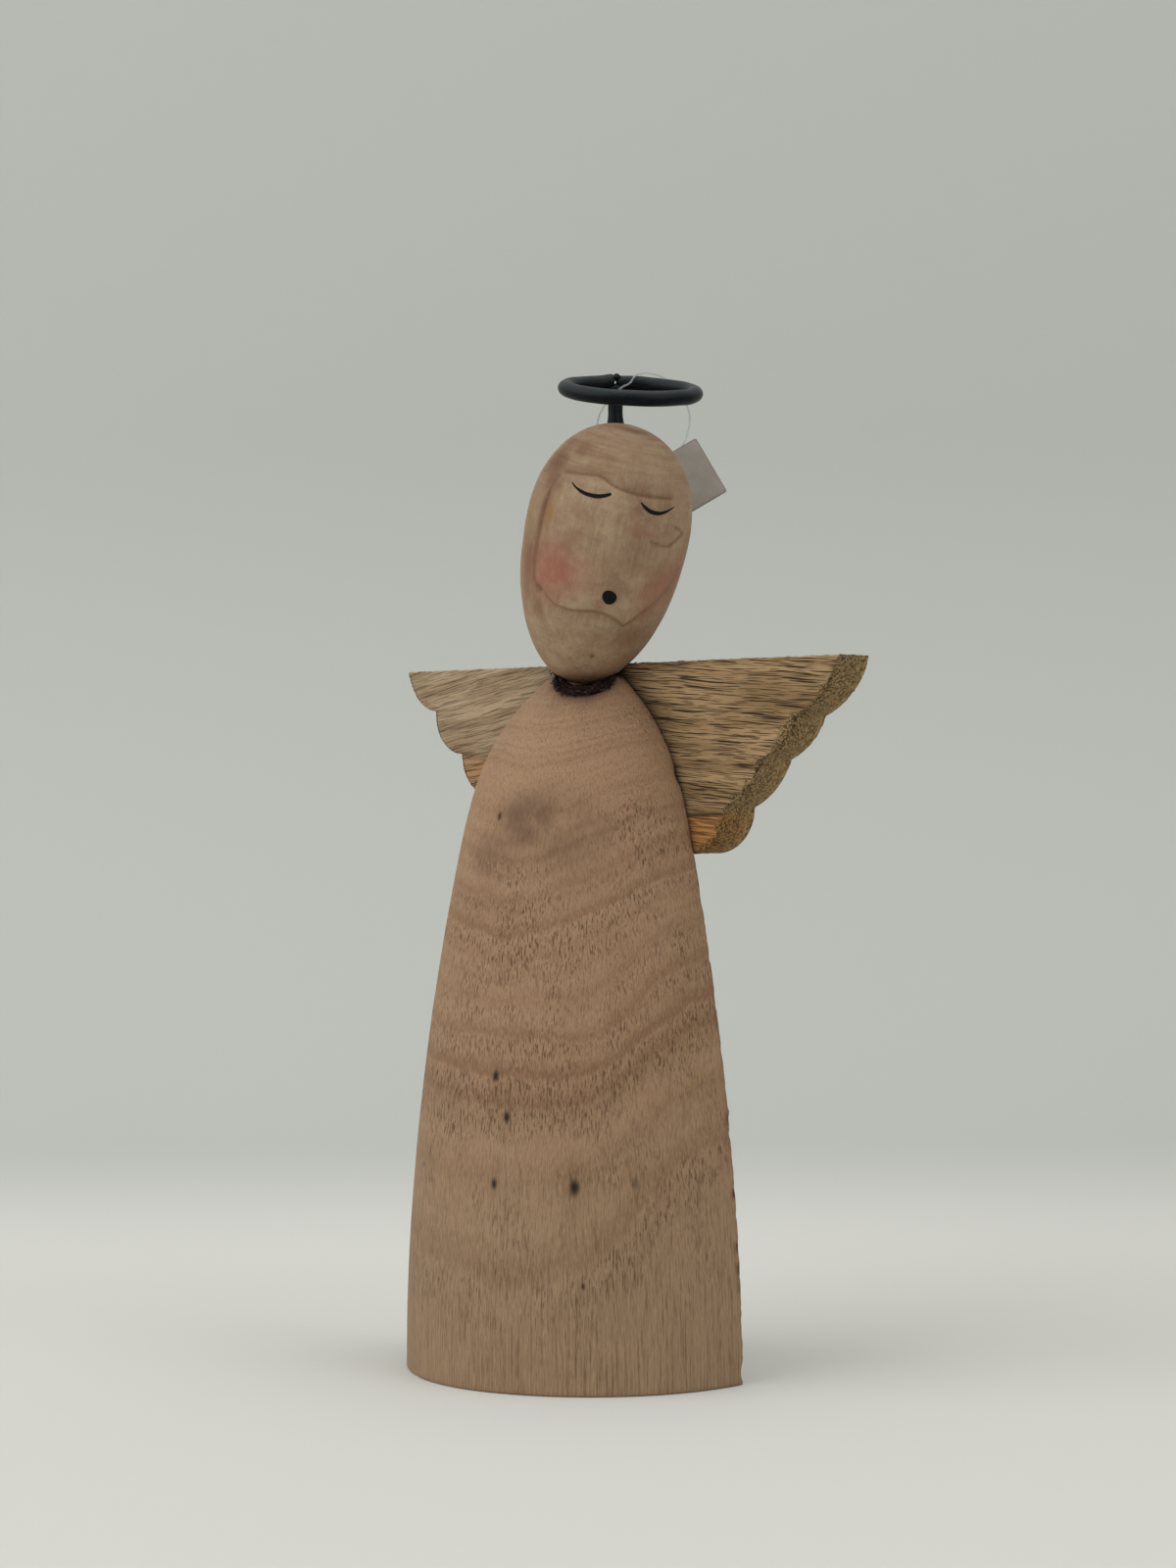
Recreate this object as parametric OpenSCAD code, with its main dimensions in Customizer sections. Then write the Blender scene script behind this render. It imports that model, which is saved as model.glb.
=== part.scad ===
// Wooden angel: half-cone gown, egg head on a dowel, two scalloped wing boards and a wire halo.
// Millimetres. +Z is up, the front of the gown faces -Y, and z = 0 is the surface it stands on.

/* [Gown] */
// Height of the gown from its base to the flat around the neck
gown_h = 175; // [150:1:200]
// Radius of the gown at its base
gown_r = 48.6; // [44:0.1:56]
// Radius that the straight taper alone would reach at the top
taper_r = 23.3; // [20:0.1:27]
// How strongly the taper curves, where 1 is a straight cone
taper_curve = 1.87; // [1.5:0.01:2.2]
// Radius left at the top, around the neck
neck_r = 10.4; // [9:0.1:13]
// Height over which the shoulder rounds in
shoulder_h = 45; // [35:1:60]
// How suddenly the shoulder rounds in
shoulder_curve = 3.3; // [2.5:0.1:4]
// Width of the worn edge around the base
base_break = 0.6; // [0.3:0.1:1.5]
// Distance from the reference point on the base back to the flat sawn back
back_y = 20; // [16:0.5:24]

/* [Head] */
// Length of the egg-shaped head along its own axis
head_len = 66.8; // [56:0.1:76]
// Radius of the head at half its length
head_r = 20.4; // [17:0.1:22]
// How much wider the head is at its top than at its chin
head_fullness = 0.138; // [0.05:0.001:0.2]
// Roundness of the head's two ends
head_curve = 2.32; // [2:0.01:2.8]
// Lean of the head to the figure's left
head_lean = 17; // [10:0.5:22]
// Sideways offset of the chin from the middle of the gown
head_x = -0.6; // [-3:0.1:3]
// Distance of the chin in front of the flat back
head_inset = 5.7; // [5:0.1:8]
// Depth that the chin is let into the top of the gown
head_sink = 1.5; // [0.5:0.1:3]
// Gap between the chin and its dished seat
seat_gap = 0.4; // [0.3:0.05:0.8]
// Radius of the round scoop below the face, which leaves the chin free at the front
scoop_r = 16.5; // [15:0.1:18]

/* [Neck dowel] */
// Diameter of the dowel that the head turns on
dowel_d = 6; // [4:0.1:6.5]
// Length of dowel glued into the gown
dowel_down = 22; // [15:0.5:30]
// Length of dowel that reaches up into the head
dowel_up = 22; // [15:0.5:28]
// Free space above the dowel inside the head
dowel_end_gap = 0.3; // [0.2:0.1:1]
// Radial clearance of the dowel in its two bores
dowel_gap = 0.05; // [0.02:0.01:0.1]

/* [Wings] */
// Thickness of the wing boards
wing_t = 12; // [8:0.5:16]
// Height of the wings' top edge above the gown
wing_rise = 3.2; // [1:0.1:3.6]
// Distance of each wing's inner end from the middle
wing_inner = 9; // [7:0.1:14]
// Depth of the right wing at its inner end
right_depth = 48.2; // [44:0.1:60]
// Depth of the left wing at its inner end
left_depth = 45; // [42:0.1:60]

/* [Wing nails] */
// Diameter of the nails' shanks
nail_d = 1.6; // [1.2:0.1:2.2]
// Diameter of the nails' flat heads
nail_head_d = 3.6; // [3:0.1:5]
// Thickness of the nails' heads
nail_head_t = 0.7; // [0.4:0.1:1.2]
// Length of nail that bites into the gown
nail_bite = 12; // [6:0.5:14]
// Distance of the nails from the middle of the back
nail_x = 20; // [17:0.5:21.5]
// Drop of the upper nails below the wings' top edge
upper_nail_drop = 26; // [25:0.5:30]
// Drop of the lower nails below the wings' top edge
lower_nail_drop = 39; // [35:0.5:41]
// Radial clearance of the nails and the halo's stem in their holes
drive_gap = 0.03; // [0.02:0.01:0.08]

/* [Halo] */
// Diameter of the ring's wire
wire_d = 3.9; // [2.5:0.1:4.5]
// Diameter of the stem's wire
stem_d = 3.7; // [2.4:0.1:3.8]
// Radius of the ring to the middle of its wire
ring_r = 16; // [13:0.1:20]
// Gap where the ring's two ends meet over the stem
ring_split = 0.4; // [0.2:0.1:0.8]
// Height of the ring's joint above the top of the head
halo_rise = 10.1; // [9.5:0.1:16]
// Droop of the ring towards the face
halo_droop = 13.5; // [0:0.5:15]
// Turn of the ring about its stem, from the figure's left side
halo_turn = -34; // [-60:1:0]
// Length of stem driven into the head
stem_in = 18; // [10:0.5:22]
// Thickness of the weld between the stem and the ring
weld_gap = 0.05; // [0.02:0.01:0.1]

/* [Swing tag] */
// Length of the card
card_l = 23.5; // [18:0.5:28]
// Width of the card
card_w = 16; // [12:0.5:20]
// Thickness of the card
card_t = 0.8; // [0.5:0.1:1.2]
// Diameter of the hole punched in the card
hole_d = 2.5; // [2:0.1:3]
// Distance of the hole from the card's long edge
hole_in = 3; // [2.5:0.1:4]
// Distance of the hole from the middle of the card's length
hole_off = 2.9; // [0:0.1:5]
// Tilt at which the card hangs
card_tilt = 30; // [0:1:45]
// Turn of the card about the vertical
card_turn = 42.6; // [30:0.1:55]
// Diameter of the nylon loop
nylon_d = 0.5; // [0.4:0.05:0.7]
// Gap left between the nylon and the halo's wire
loop_slack = 0.3; // [0.1:0.05:0.4]
// Diameter of the barrel that locks the loop
lock_d = 2.4; // [2:0.1:3]
// Length of each end of the loop that is pushed into the barrel
lock_grip = 0.5; // [0.3:0.1:1]

/* [Hidden] */
$fn = 96;
// Number of steps along the gown's side, the head's side and each scallop
gown_steps = 40;
head_steps = 48;
lobe_steps = 8;
// Sides of the nylon tube and rings in each stretch of its route
nylon_sides = 8;
nylon_rings = 3;

// Extra length by which a cutter clears the face that it starts from
cut = 1;
chin = [head_x, back_y - head_inset, gown_h - head_sink];
// Middle of the scoop below the face, measured from the chin
scoop_from_chin = [9.4, -8.5, 12.7];
wing_top = gown_h + wing_rise;
nail_drops = [upper_nail_drop, lower_nail_drop];

// Notches between the scallops, from the tip down: distance from the middle, drop below the top
// edge, and the fullness of the scallop that follows, where 0 is straight and 1 a quarter round
right_lobes = [
    [80.6, 0, 0.56], [67, 14.4, 0.5], [56, 24.9, 0.5], [44, 36.7, 1], [31.5, right_depth, 0]
];
left_lobes = [[67, 0, 0.85], [57, 10.8, 1.05], [47.2, 22.2, 1], [38, 33, 1], [27, left_depth, 0]];

// Radius of the gown at height z
function gown_radius(z) =
    gown_r
    - (gown_r - taper_r) * pow(z / gown_h, taper_curve)
    - (taper_r - neck_r) * pow(max(0, z - gown_h + shoulder_h) / shoulder_h, shoulder_curve);

// Radius of the head at share s of its length, counted from the chin
function head_radius(s) =
    let (t = 2 * s - 1)
    head_r * sqrt(max(0, 1 - pow(abs(t), head_curve))) * (1 + head_fullness * t);

// Share of the head's length at step i, with steps crowded at the two ends
function head_share(i) = (1 - cos(180 * i / head_steps)) / 2;

// The highest point of the leaning head, as [x, z] from the chin
function crown(s) =
    let (along = s * head_len, out = head_radius(s))
    [along * sin(head_lean) - out * cos(head_lean), along * cos(head_lean) + out * sin(head_lean)];
crowns = [for (i = [0:head_steps]) crown(head_share(i))];
crown_z = max([for (c = crowns) c[1]]);
crown_x = [for (c = crowns) if (c[1] == crown_z) c[0]][0];
halo_joint = chin + [crown_x, 0, crown_z + halo_rise];

// A point beside the ring's wire where the nylon lies on it, from a turn round the ring, which is 180
// at the joint, and a turn round the wire, which is 90 on top of it
function tipped(p) =
    [p[0] * cos(halo_droop) + p[2] * sin(halo_droop), p[1], p[2] * cos(halo_droop) - p[0] * sin(halo_droop)];
function turned(p) =
    [p[0] * cos(halo_turn) - p[1] * sin(halo_turn), p[0] * sin(halo_turn) + p[1] * cos(halo_turn), p[2]];
function on_wire(along, around) =
    let (reach = (wire_d + nylon_d) / 2 + loop_slack, out = ring_r + reach * cos(around))
    halo_joint + turned(tipped([ring_r + out * cos(along), out * sin(along), reach * sin(around)]));

// Middle of the card's punched hole, and the route of the nylon: up from the lock to the halo, over
// its wire, and down through the card to the lock, with free points measured from the halo's joint
card_hole = halo_joint + [-6.1, 28.4, -18.4];
rise_points = [
    [-12.1, 18.2, -16.8], [-12.6, 11.7, -14.3], [-10.6, 5.2, -11.3], [-6.6, 0.7, -8.8],
    [-2.1, -2.3, -6.3], [1.4, -3.8, -4.8], [2.9, -3.3, -3.3], [3.9, -2.3, -1.8]
];
wire_turns = [[166, 165], [163.5, 138], [161, 112], [158, 85]];
fall_points = [
    [3.2, 9.1, 2.9], [0.9, 18.5, 2.4], [-1.7, 27, 0.1], [-3.9, 32, -2.9],
    [-4.6, 33.8, -5.7], [-5.1, 33.9, -8.5], [-5.6, 33.2, -11.3], [-6.2, 31.6, -14.4],
    [-6.5, 29.2, -17.7], [-5.9, 27.7, -18.5], [-6.8, 24.7, -19.2], [-9.1, 21.7, -18.3]
];
nylon_route = concat(
    [for (p = rise_points) halo_joint + p],
    [for (w = wire_turns) on_wire(w[0], w[1])],
    [for (p = fall_points) halo_joint + p]
);

// One scallop between two notches, part way between a straight cut and a quarter round
function lobe(a, b) = [
    for (i = [0:lobe_steps - 1])
        let (u = i / lobe_steps, bulge = a[2])
        let (chord = [a[0] + (b[0] - a[0]) * u, a[1] + (b[1] - a[1]) * u])
        let (quarter = [b[0] + (a[0] - b[0]) * cos(90 * u), a[1] + (b[1] - a[1]) * sin(90 * u)])
        chord * (1 - bulge) + quarter * bulge
];

// Points of a smooth line through a list of route points
function between(a, b, c, d, t) =
    0.5 * (2 * b + (c - a) * t + (2 * a - 5 * b + 4 * c - d) * t * t + (3 * b - a - 3 * c + d) * t * t * t);
function smooth(route) =
    let (last = len(route) - 1)
    [
        for (i = [0:last - 1], j = [0:nylon_rings - 1])
            between(route[max(i - 1, 0)], route[i], route[i + 1], route[min(i + 2, last)], j / nylon_rings),
        route[last]
    ];
function unit(v) = v / norm(v);
function tangents(path) =
    let (last = len(path) - 1)
    [for (i = [0:last]) unit(path[min(i + 1, last)] - path[max(i - 1, 0)])];
// One side direction at each point, carried along the path without twisting
function sides_of(along, i, side) =
    i == len(along) ? [] :
    let (here = unit(side - along[i] * (side * along[i])))
    concat([here], sides_of(along, i + 1, here));

module tube(path, radius, count) {
    along = tangents(path);
    side = sides_of(along, 0, [0, 0, 1]);
    last = len(path) - 1;
    points = [
        for (i = [0:last], k = [0:count - 1])
            let (a = 360 * k / count)
            path[i] + radius * (side[i] * cos(a) + cross(along[i], side[i]) * sin(a))
    ];
    walls = [
        for (i = [0:last - 1], k = [0:count - 1])
            let (a = i * count + k, b = i * count + (k + 1) % count)
            each [[a, a + count, b + count], [a, b + count, b]]
    ];
    first_end = [for (k = [0:count - 1]) k];
    last_end = [for (k = [count - 1:-1:0]) last * count + k];
    polyhedron(points, concat(walls, [first_end, last_end]));
}

// Places children on the head's leaning axis, with the chin at their origin
module on_head_axis() {
    translate(chin)
        rotate([0, head_lean, 0])
            children();
}

// The egg, or the egg grown all round by a gap
module egg(grow) {
    side = [
        for (i = [1:head_steps - 1])
            let (s = head_share(i))
            [head_radius(s) + grow, s * head_len + grow * (2 * s - 1)]
    ];
    rotate_extrude()
        polygon(concat([[0, -grow]], side, [[0, head_len + grow]]));
}

// Places children on the four nails, with +Z pointing forwards from the back of the gown
module on_nails() {
    for (x = [-nail_x, nail_x], drop = nail_drops)
        translate([x, back_y, wing_top - drop])
            rotate([90, 0, 0])
                children();
}

module nail_holes() {
    on_nails()
        translate([0, 0, -wing_t - cut])
            cylinder(d = nail_d + 2 * drive_gap, h = wing_t + nail_bite + cut);
}

module wing_board(lobes, depth) {
    scallops = [for (i = [0:len(lobes) - 2]) each lobe(lobes[i], lobes[i + 1])];
    edge = concat([[wing_inner, 0]], scallops, [lobes[len(lobes) - 1], [wing_inner, depth]]);
    translate([0, back_y + wing_t, wing_top])
        rotate([90, 0, 0])
            linear_extrude(wing_t)
                polygon([for (p = edge) [p[0], -p[1]]]);
}

// Places children on the ring's axis, with the joint over the stem at x = -ring_r
module on_ring() {
    translate(halo_joint)
        rotate([0, halo_droop, halo_turn])
            translate([ring_r, 0, 0])
                children();
}

module gown_body() {
    side = [
        for (i = [0:gown_steps])
            let (z = base_break + (gown_h - base_break) * i / gown_steps)
            [gown_radius(z), z]
    ];
    color([0.51, 0.40, 0.31])
        difference() {
            translate([0, back_y, 0])
                rotate([0, 0, 180])
                    rotate_extrude(angle = 180)
                        polygon(concat([[0, 0], [gown_r - base_break, 0]], side, [[0, gown_h]]));
            translate(chin + scoop_from_chin)
                sphere(r = scoop_r);
            on_head_axis()
                egg(seat_gap);
            on_head_axis()
                translate([0, 0, -dowel_down])
                    cylinder(d = dowel_d + 2 * dowel_gap, h = dowel_down + head_sink + cut);
            nail_holes();
        }
}

module neck_dowel() {
    color([0.66, 0.52, 0.36])
        on_head_axis()
            translate([0, 0, -dowel_down])
                cylinder(d = dowel_d, h = dowel_down + dowel_up);
}

module head() {
    color([0.58, 0.50, 0.42])
        difference() {
            on_head_axis()
                egg(0);
            on_head_axis()
                translate([0, 0, -cut])
                    cylinder(d = dowel_d + 2 * dowel_gap, h = dowel_up + dowel_end_gap + cut);
            translate(halo_joint - [0, 0, halo_rise + stem_in])
                cylinder(d = stem_d + 2 * drive_gap, h = stem_in + halo_rise);
        }
}

module left_wing() {
    color([0.57, 0.49, 0.40])
        difference() {
            mirror([1, 0, 0])
                wing_board(left_lobes, left_depth);
            nail_holes();
            on_head_axis()
                egg(seat_gap);
        }
}

module right_wing() {
    color([0.45, 0.37, 0.25])
        difference() {
            wing_board(right_lobes, right_depth);
            nail_holes();
            on_head_axis()
                egg(seat_gap);
        }
}

module wing_nails() {
    color([0.45, 0.45, 0.46])
        on_nails()
            translate([0, 0, -wing_t]) {
                cylinder(d = nail_d, h = wing_t + nail_bite);
                translate([0, 0, -nail_head_t])
                    cylinder(d = nail_head_d, h = nail_head_t);
            }
}

module halo_ring() {
    split = 2 * asin(ring_split / 2 / ring_r);
    color([0.08, 0.10, 0.11])
        on_ring()
            rotate([0, 0, 180 + split / 2])
                rotate_extrude(angle = 360 - split)
                    translate([ring_r, 0])
                        circle(d = wire_d);
}

module halo_stem() {
    color([0.07, 0.08, 0.09])
        difference() {
            translate(halo_joint - [0, 0, halo_rise + stem_in])
                cylinder(d = stem_d, h = stem_in + halo_rise);
            on_ring()
                rotate_extrude()
                    translate([ring_r, 0])
                        circle(d = wire_d + 2 * weld_gap);
        }
}

module tag_card() {
    color([0.51, 0.49, 0.45])
        translate(card_hole)
            rotate([0, -card_tilt, card_turn])
                difference() {
                    translate([-hole_off - card_l / 2, -card_t / 2, hole_in - card_w])
                        cube([card_l, card_t, card_w]);
                    rotate([90, 0, 0])
                        cylinder(d = hole_d, h = card_t + 2 * cut, center = true);
                }
}

module tag_loop() {
    color([0.85, 0.86, 0.85, 0.6])
        tube(smooth(nylon_route), nylon_d / 2, nylon_sides);
}

module loop_lock() {
    from = nylon_route[len(nylon_route) - 1];
    run = nylon_route[0] - from;
    color([0.85, 0.86, 0.85, 0.6])
        translate(from)
            rotate([0, acos(run[2] / norm(run)), atan2(run[1], run[0])])
                translate([0, 0, -lock_grip])
                    cylinder(d = lock_d, h = norm(run) + 2 * lock_grip);
}

gown_body();
neck_dowel();
head();
left_wing();
right_wing();
wing_nails();
halo_ring();
halo_stem();
tag_card();
tag_loop();
loop_lock();
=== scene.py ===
# %% [markdown]
# # A small wooden angel
# The figure is a half cone of sanded wood for the gown, an egg of wood for the head, two rough
# boards for the wings and a ring of black wire for the halo. The CAD frame already has every part
# in its place, so this lesson only gives the parts their true surfaces. It loads the frame first
# and keeps its size, so that the finished figure can be compared with it at the end.

import math

import bpy
import numpy as np
from mathutils import Matrix, Vector


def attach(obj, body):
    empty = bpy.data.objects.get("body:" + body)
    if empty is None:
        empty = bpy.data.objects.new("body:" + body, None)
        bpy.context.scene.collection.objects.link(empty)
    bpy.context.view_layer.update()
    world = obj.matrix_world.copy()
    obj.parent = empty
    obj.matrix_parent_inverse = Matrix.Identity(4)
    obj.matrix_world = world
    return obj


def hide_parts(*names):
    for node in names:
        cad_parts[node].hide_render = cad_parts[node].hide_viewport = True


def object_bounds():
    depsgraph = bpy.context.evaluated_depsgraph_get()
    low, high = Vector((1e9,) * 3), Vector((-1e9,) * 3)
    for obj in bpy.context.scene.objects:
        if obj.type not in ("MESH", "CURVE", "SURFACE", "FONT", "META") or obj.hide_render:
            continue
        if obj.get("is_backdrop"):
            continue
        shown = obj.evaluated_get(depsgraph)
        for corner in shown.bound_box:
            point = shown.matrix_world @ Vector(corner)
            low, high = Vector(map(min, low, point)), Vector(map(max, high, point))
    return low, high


MM = 0.001
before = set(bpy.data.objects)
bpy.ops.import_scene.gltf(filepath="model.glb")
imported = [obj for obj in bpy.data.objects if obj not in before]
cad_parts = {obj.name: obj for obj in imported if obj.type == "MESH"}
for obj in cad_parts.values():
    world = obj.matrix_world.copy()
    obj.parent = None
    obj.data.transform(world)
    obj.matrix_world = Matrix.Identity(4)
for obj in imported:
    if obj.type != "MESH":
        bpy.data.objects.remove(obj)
cad_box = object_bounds()
scene = bpy.context.scene

# %% [markdown]
# ## Camera
# The photograph was taken from the figure's left side with a long lens, level with the shoulders.
# A camera can be placed by eye or solved from known shapes. Here it was solved from the round base
# and the outline of the gown. The same numbers also work the other way round: a pixel of the
# photograph can be traced back to the point of the figure that it shows.

# %% Camera
IMAGE_W = 1200
IMAGE_H = 1600
FOCAL_PX = 3422.0
SENSOR = 36.0


def add_object(name, data):
    made = bpy.data.objects.new(name, data)
    scene.collection.objects.link(made)
    return made


camera_data = bpy.data.cameras.new("photo_camera")
camera_data.sensor_width = SENSOR
camera_data.lens = FOCAL_PX * SENSOR / IMAGE_H
camera_data.clip_start = 0.01
camera = add_object("photo_camera", camera_data)
camera.location = (0.5786, -0.61016, 0.1476)
camera.rotation_euler = (math.radians(90.008), math.radians(0.487), math.radians(42.636))
scene.camera = camera
camera_turn = np.array(camera.rotation_euler.to_matrix())
right, up, ahead = camera_turn[:, 0], camera_turn[:, 1], -camera_turn[:, 2]
eye_mm = np.array(camera.location) / MM
print("camera lens:", round(camera_data.lens, 1), "mm")


# %% Pixel tools
def to_pixels(points):
    """Where points in millimetres show in the photograph."""
    ray = points - eye_mm
    depth = ray @ ahead
    across = IMAGE_W / 2 + FOCAL_PX * (ray @ right) / depth
    down = IMAGE_H / 2 - FOCAL_PX * (ray @ up) / depth
    return np.stack([across, down], axis=-1)


NEAREST, FARTHEST, RAY_STEP = 780.0, 900.0, 0.5


def first_hit(pixels, outside):
    """The point where the ray through each pixel first enters a form, where outside() turns negative."""
    pixels = np.asarray(pixels, float)
    ray = ahead + np.outer(pixels[:, 0] - IMAGE_W / 2, right) / FOCAL_PX
    ray = ray - np.outer(pixels[:, 1] - IMAGE_H / 2, up) / FOCAL_PX
    near = np.full(len(pixels), NEAREST)
    while True:
        step = outside(eye_mm + ray * near[:, None]) > 0
        step &= near < FARTHEST
        if not step.any():
            break
        near[step] += RAY_STEP
    far = near.copy()
    near = near - RAY_STEP
    for _ in range(24):
        middle = (near + far) / 2
        out = outside(eye_mm + ray * middle[:, None]) > 0
        near = np.where(out, middle, near)
        far = np.where(out, far, middle)
    return eye_mm + ray * far[:, None]


print("middle of the base shows at pixel", to_pixels(np.zeros(3)).round(1).tolist())

# %% [markdown]
# ## Writing shaders as sums
# A shader is a graph of nodes, and long graphs are hard to read as code. The small class below
# wraps one socket, so that `1 - mask * 0.5` adds the Math nodes for it. Every other node comes from
# one method that takes the node's type, its settings and its inputs.

# %% Sockets as numbers
class Signal:
    """One shader socket that works like a number."""

    def __init__(self, finish, socket):
        self.finish = finish
        self.socket = socket

    def sum(self, operation, first, second):
        return self.finish.node("ShaderNodeMath", {"operation": operation}, {0: first, 1: second})

    def __add__(self, other):
        return self.sum("ADD", self, other)

    def __radd__(self, other):
        return self.sum("ADD", other, self)

    def __sub__(self, other):
        return self.sum("SUBTRACT", self, other)

    def __rsub__(self, other):
        return self.sum("SUBTRACT", other, self)

    def __mul__(self, other):
        return self.sum("MULTIPLY", self, other)

    def __rmul__(self, other):
        return self.sum("MULTIPLY", other, self)

    def at_least(self, other):
        return self.sum("MAXIMUM", self, other)

    def at_most(self, other):
        return self.sum("MINIMUM", self, other)


print("sockets can be added, subtracted and multiplied")


# %% Finishes
class Finish:
    """One material, with the methods that build its nodes."""

    def __init__(self, name):
        self.material = bpy.data.materials.new(name)
        self.material.use_nodes = True
        self.tree = self.material.node_tree
        self.shader = self.tree.nodes["Principled BSDF"]
        self.place = self.node("ShaderNodeTexCoord", {}, {}, "Object")
        self.colour = None

    def node(self, kind, settings, inputs, output=0):
        made = self.tree.nodes.new(kind)
        for name, value in settings.items():
            if name == "stops":
                self.set_stops(made.color_ramp, value)
            else:
                setattr(made, name, value)
        for key, value in inputs.items():
            self.set(made.inputs[key], value)
        return Signal(self, made.outputs[output])

    def set_stops(self, ramp, stops):
        ramp.elements[0].position = stops[0][0]
        ramp.elements[1].position = stops[-1][0]
        for position, _ in stops[1:-1]:
            ramp.elements.new(position)
        for element, (_, colour) in zip(ramp.elements, stops):
            element.color = colour

    def set(self, socket, value):
        if isinstance(value, Signal):
            self.tree.links.new(value.socket, socket)
        else:
            socket.default_value = value

    def surface(self, **sockets):
        """Sets the shader's own sockets, with _ for the spaces in their names."""
        for name, value in sockets.items():
            self.set(self.shader.inputs[name.replace("_", " ")], value)
        return self.material

    def turned(self, angle, about):
        """Object coordinates turned by an angle in degrees about an axis."""
        settings = {"rotation_type": "AXIS_ANGLE"}
        inputs = {"Vector": self.place, "Axis": about, "Angle": math.radians(angle)}
        return self.node("ShaderNodeVectorRotate", settings, inputs)

    def noise(self, where, detail, rough=0.5):
        inputs = {"Vector": where, "Scale": 1.0, "Detail": detail, "Roughness": rough}
        return self.node("ShaderNodeTexNoise", {}, inputs)

    def grain(self, size, detail, rough=0.5, where=None):
        """Noise with cells of the given size in millimetres, on the object's coordinates or others."""
        scale = [1 / (s * MM) for s in size]
        inputs = {0: self.place if where is None else where, 1: scale}
        cells = self.node("ShaderNodeVectorMath", {"operation": "MULTIPLY"}, inputs)
        return self.noise(cells, detail, rough)

    def ease(self, value, low, high):
        """0 below low, 1 above high, and smooth between."""
        inputs = {"Value": value, "From Min": low, "From Max": high}
        return self.node("ShaderNodeMapRange", {"interpolation_type": "SMOOTHSTEP"}, inputs)

    def blend(self, factor, below, above):
        return self.node("ShaderNodeMix", {"data_type": "RGBA"}, {0: factor, 6: below, 7: above}, 2)

    def coat(self, mask, colour):
        """Lays one more colour over those so far, where the mask is 1."""
        self.colour = self.blend(mask, self.colour, colour)

    def ramp(self, value, stops):
        return self.node("ShaderNodeValToRGB", {"stops": stops}, {0: value})

    def painted(self, name):
        """A number that the mesh carries at its points."""
        return self.node("ShaderNodeAttribute", {"attribute_name": name}, {}, "Fac")

    def axis(self, letter):
        return self.node("ShaderNodeSeparateXYZ", {}, {0: self.place}, letter)

    def near(self, centre, size, squash):
        """1 at a point in millimetres, falling to 0 at size from it, with z squashed for long spots."""
        scale = (1 / (size * MM), 1 / (size * MM), squash / (size * MM))
        away = [-c * MM * s for c, s in zip(centre, scale)]
        inputs = {0: self.place, 1: scale, 2: away}
        local = self.node("ShaderNodeVectorMath", {"operation": "MULTIPLY_ADD"}, inputs)
        length = self.node("ShaderNodeVectorMath", {"operation": "LENGTH"}, {0: local}, "Value")
        return self.ease(length, 1.0, 0.15)

    def bump(self, height, depth):
        inputs = {"Strength": 1.0, "Distance": depth * MM, "Height": height}
        return self.node("ShaderNodeBump", {}, inputs)


def srgb(red, green, blue):
    """A colour as picked on a screen, from 0 to 255, for a shader."""
    share = [c / 255 for c in (red, green, blue)]
    linear = [c / 12.92 if c <= 0.04045 else ((c + 0.055) / 1.055) ** 2.4 for c in share]
    return (*linear, 1.0)


print("shader tools ready")

# %% [markdown]
# ## Making a piece from arrays
# Most pieces here are grids of points that follow a rule, so they are worked out as arrays and
# handed to Blender at once. A mesh made by a rule can come out with its faces turned inwards. The
# sign of its volume tells, and then all faces are flipped.

# %% Mesh tools
def wrapped_grid(rows, columns):
    """Quads of a tube of rows by columns of points, numbered row by row."""
    row, column = np.meshgrid(np.arange(rows - 1), np.arange(columns), indexing="ij")
    beside = (column + 1) % columns
    ring = [row * columns + column, row * columns + beside, (row + 1) * columns + beside]
    ring.append((row + 1) * columns + column)
    return np.stack(ring, axis=-1).reshape(-1, 4)


def fan(ring, centre):
    """Triangles from a ring of points to one centre point."""
    return [(int(a), int(b), centre) for a, b in zip(ring, np.roll(ring, -1))]


def closed_tube(rows, columns):
    """Faces of a tube whose points are followed by the middles of its first and its last ring."""
    faces = wrapped_grid(rows, columns).tolist()
    first = np.arange(columns)
    return faces + fan(first[::-1], rows * columns) + fan(first + (rows - 1) * columns, rows * columns + 1)


def make_piece(name, points, faces, finish, body, node, paint=None):
    """A mesh in millimetres as a piece of the figure. node is the CAD node it stands for, if any."""
    faces = [tuple(int(i) for i in face) for face in faces]
    mesh = bpy.data.meshes.new(name)
    mesh.from_pydata((np.asarray(points) * MM).tolist(), [], faces)
    mesh.validate()
    corners = np.array([(f[0], f[i], f[i + 1]) for f in faces for i in range(1, len(f) - 1)])
    a, b, c = (np.asarray(points)[corners[:, i]] for i in range(3))
    volume = (a * np.cross(b, c)).sum() / 6
    if volume < 0:
        mesh.flip_normals()
    for key, values in (paint or {}).items():
        layer = mesh.attributes.new(key, "FLOAT", "POINT")
        layer.data.foreach_set("value", np.asarray(values, np.float32))
    mesh.materials.append(finish)
    mesh.shade_smooth()
    piece = add_object(name, mesh)
    finish_piece(piece, body, node)
    print(name, "has", len(mesh.vertices), "points, volume", round(abs(volume), 1), "mm3")
    return piece


def finish_piece(piece, body, node):
    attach(piece, body)
    if node:
        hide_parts(node)


print("mesh tools ready")

# %% [markdown]
# ## Nylon loop
# A clear nylon thread hangs over the halo and carries the card behind the head. It is half a
# millimetre thick and closed by a small barrel. A curve with a round bevel is the natural way to
# make a thread: its points are the route, and its bevel is the thickness. The route is the same as
# in the CAD part, measured from the joint of the halo.

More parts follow.
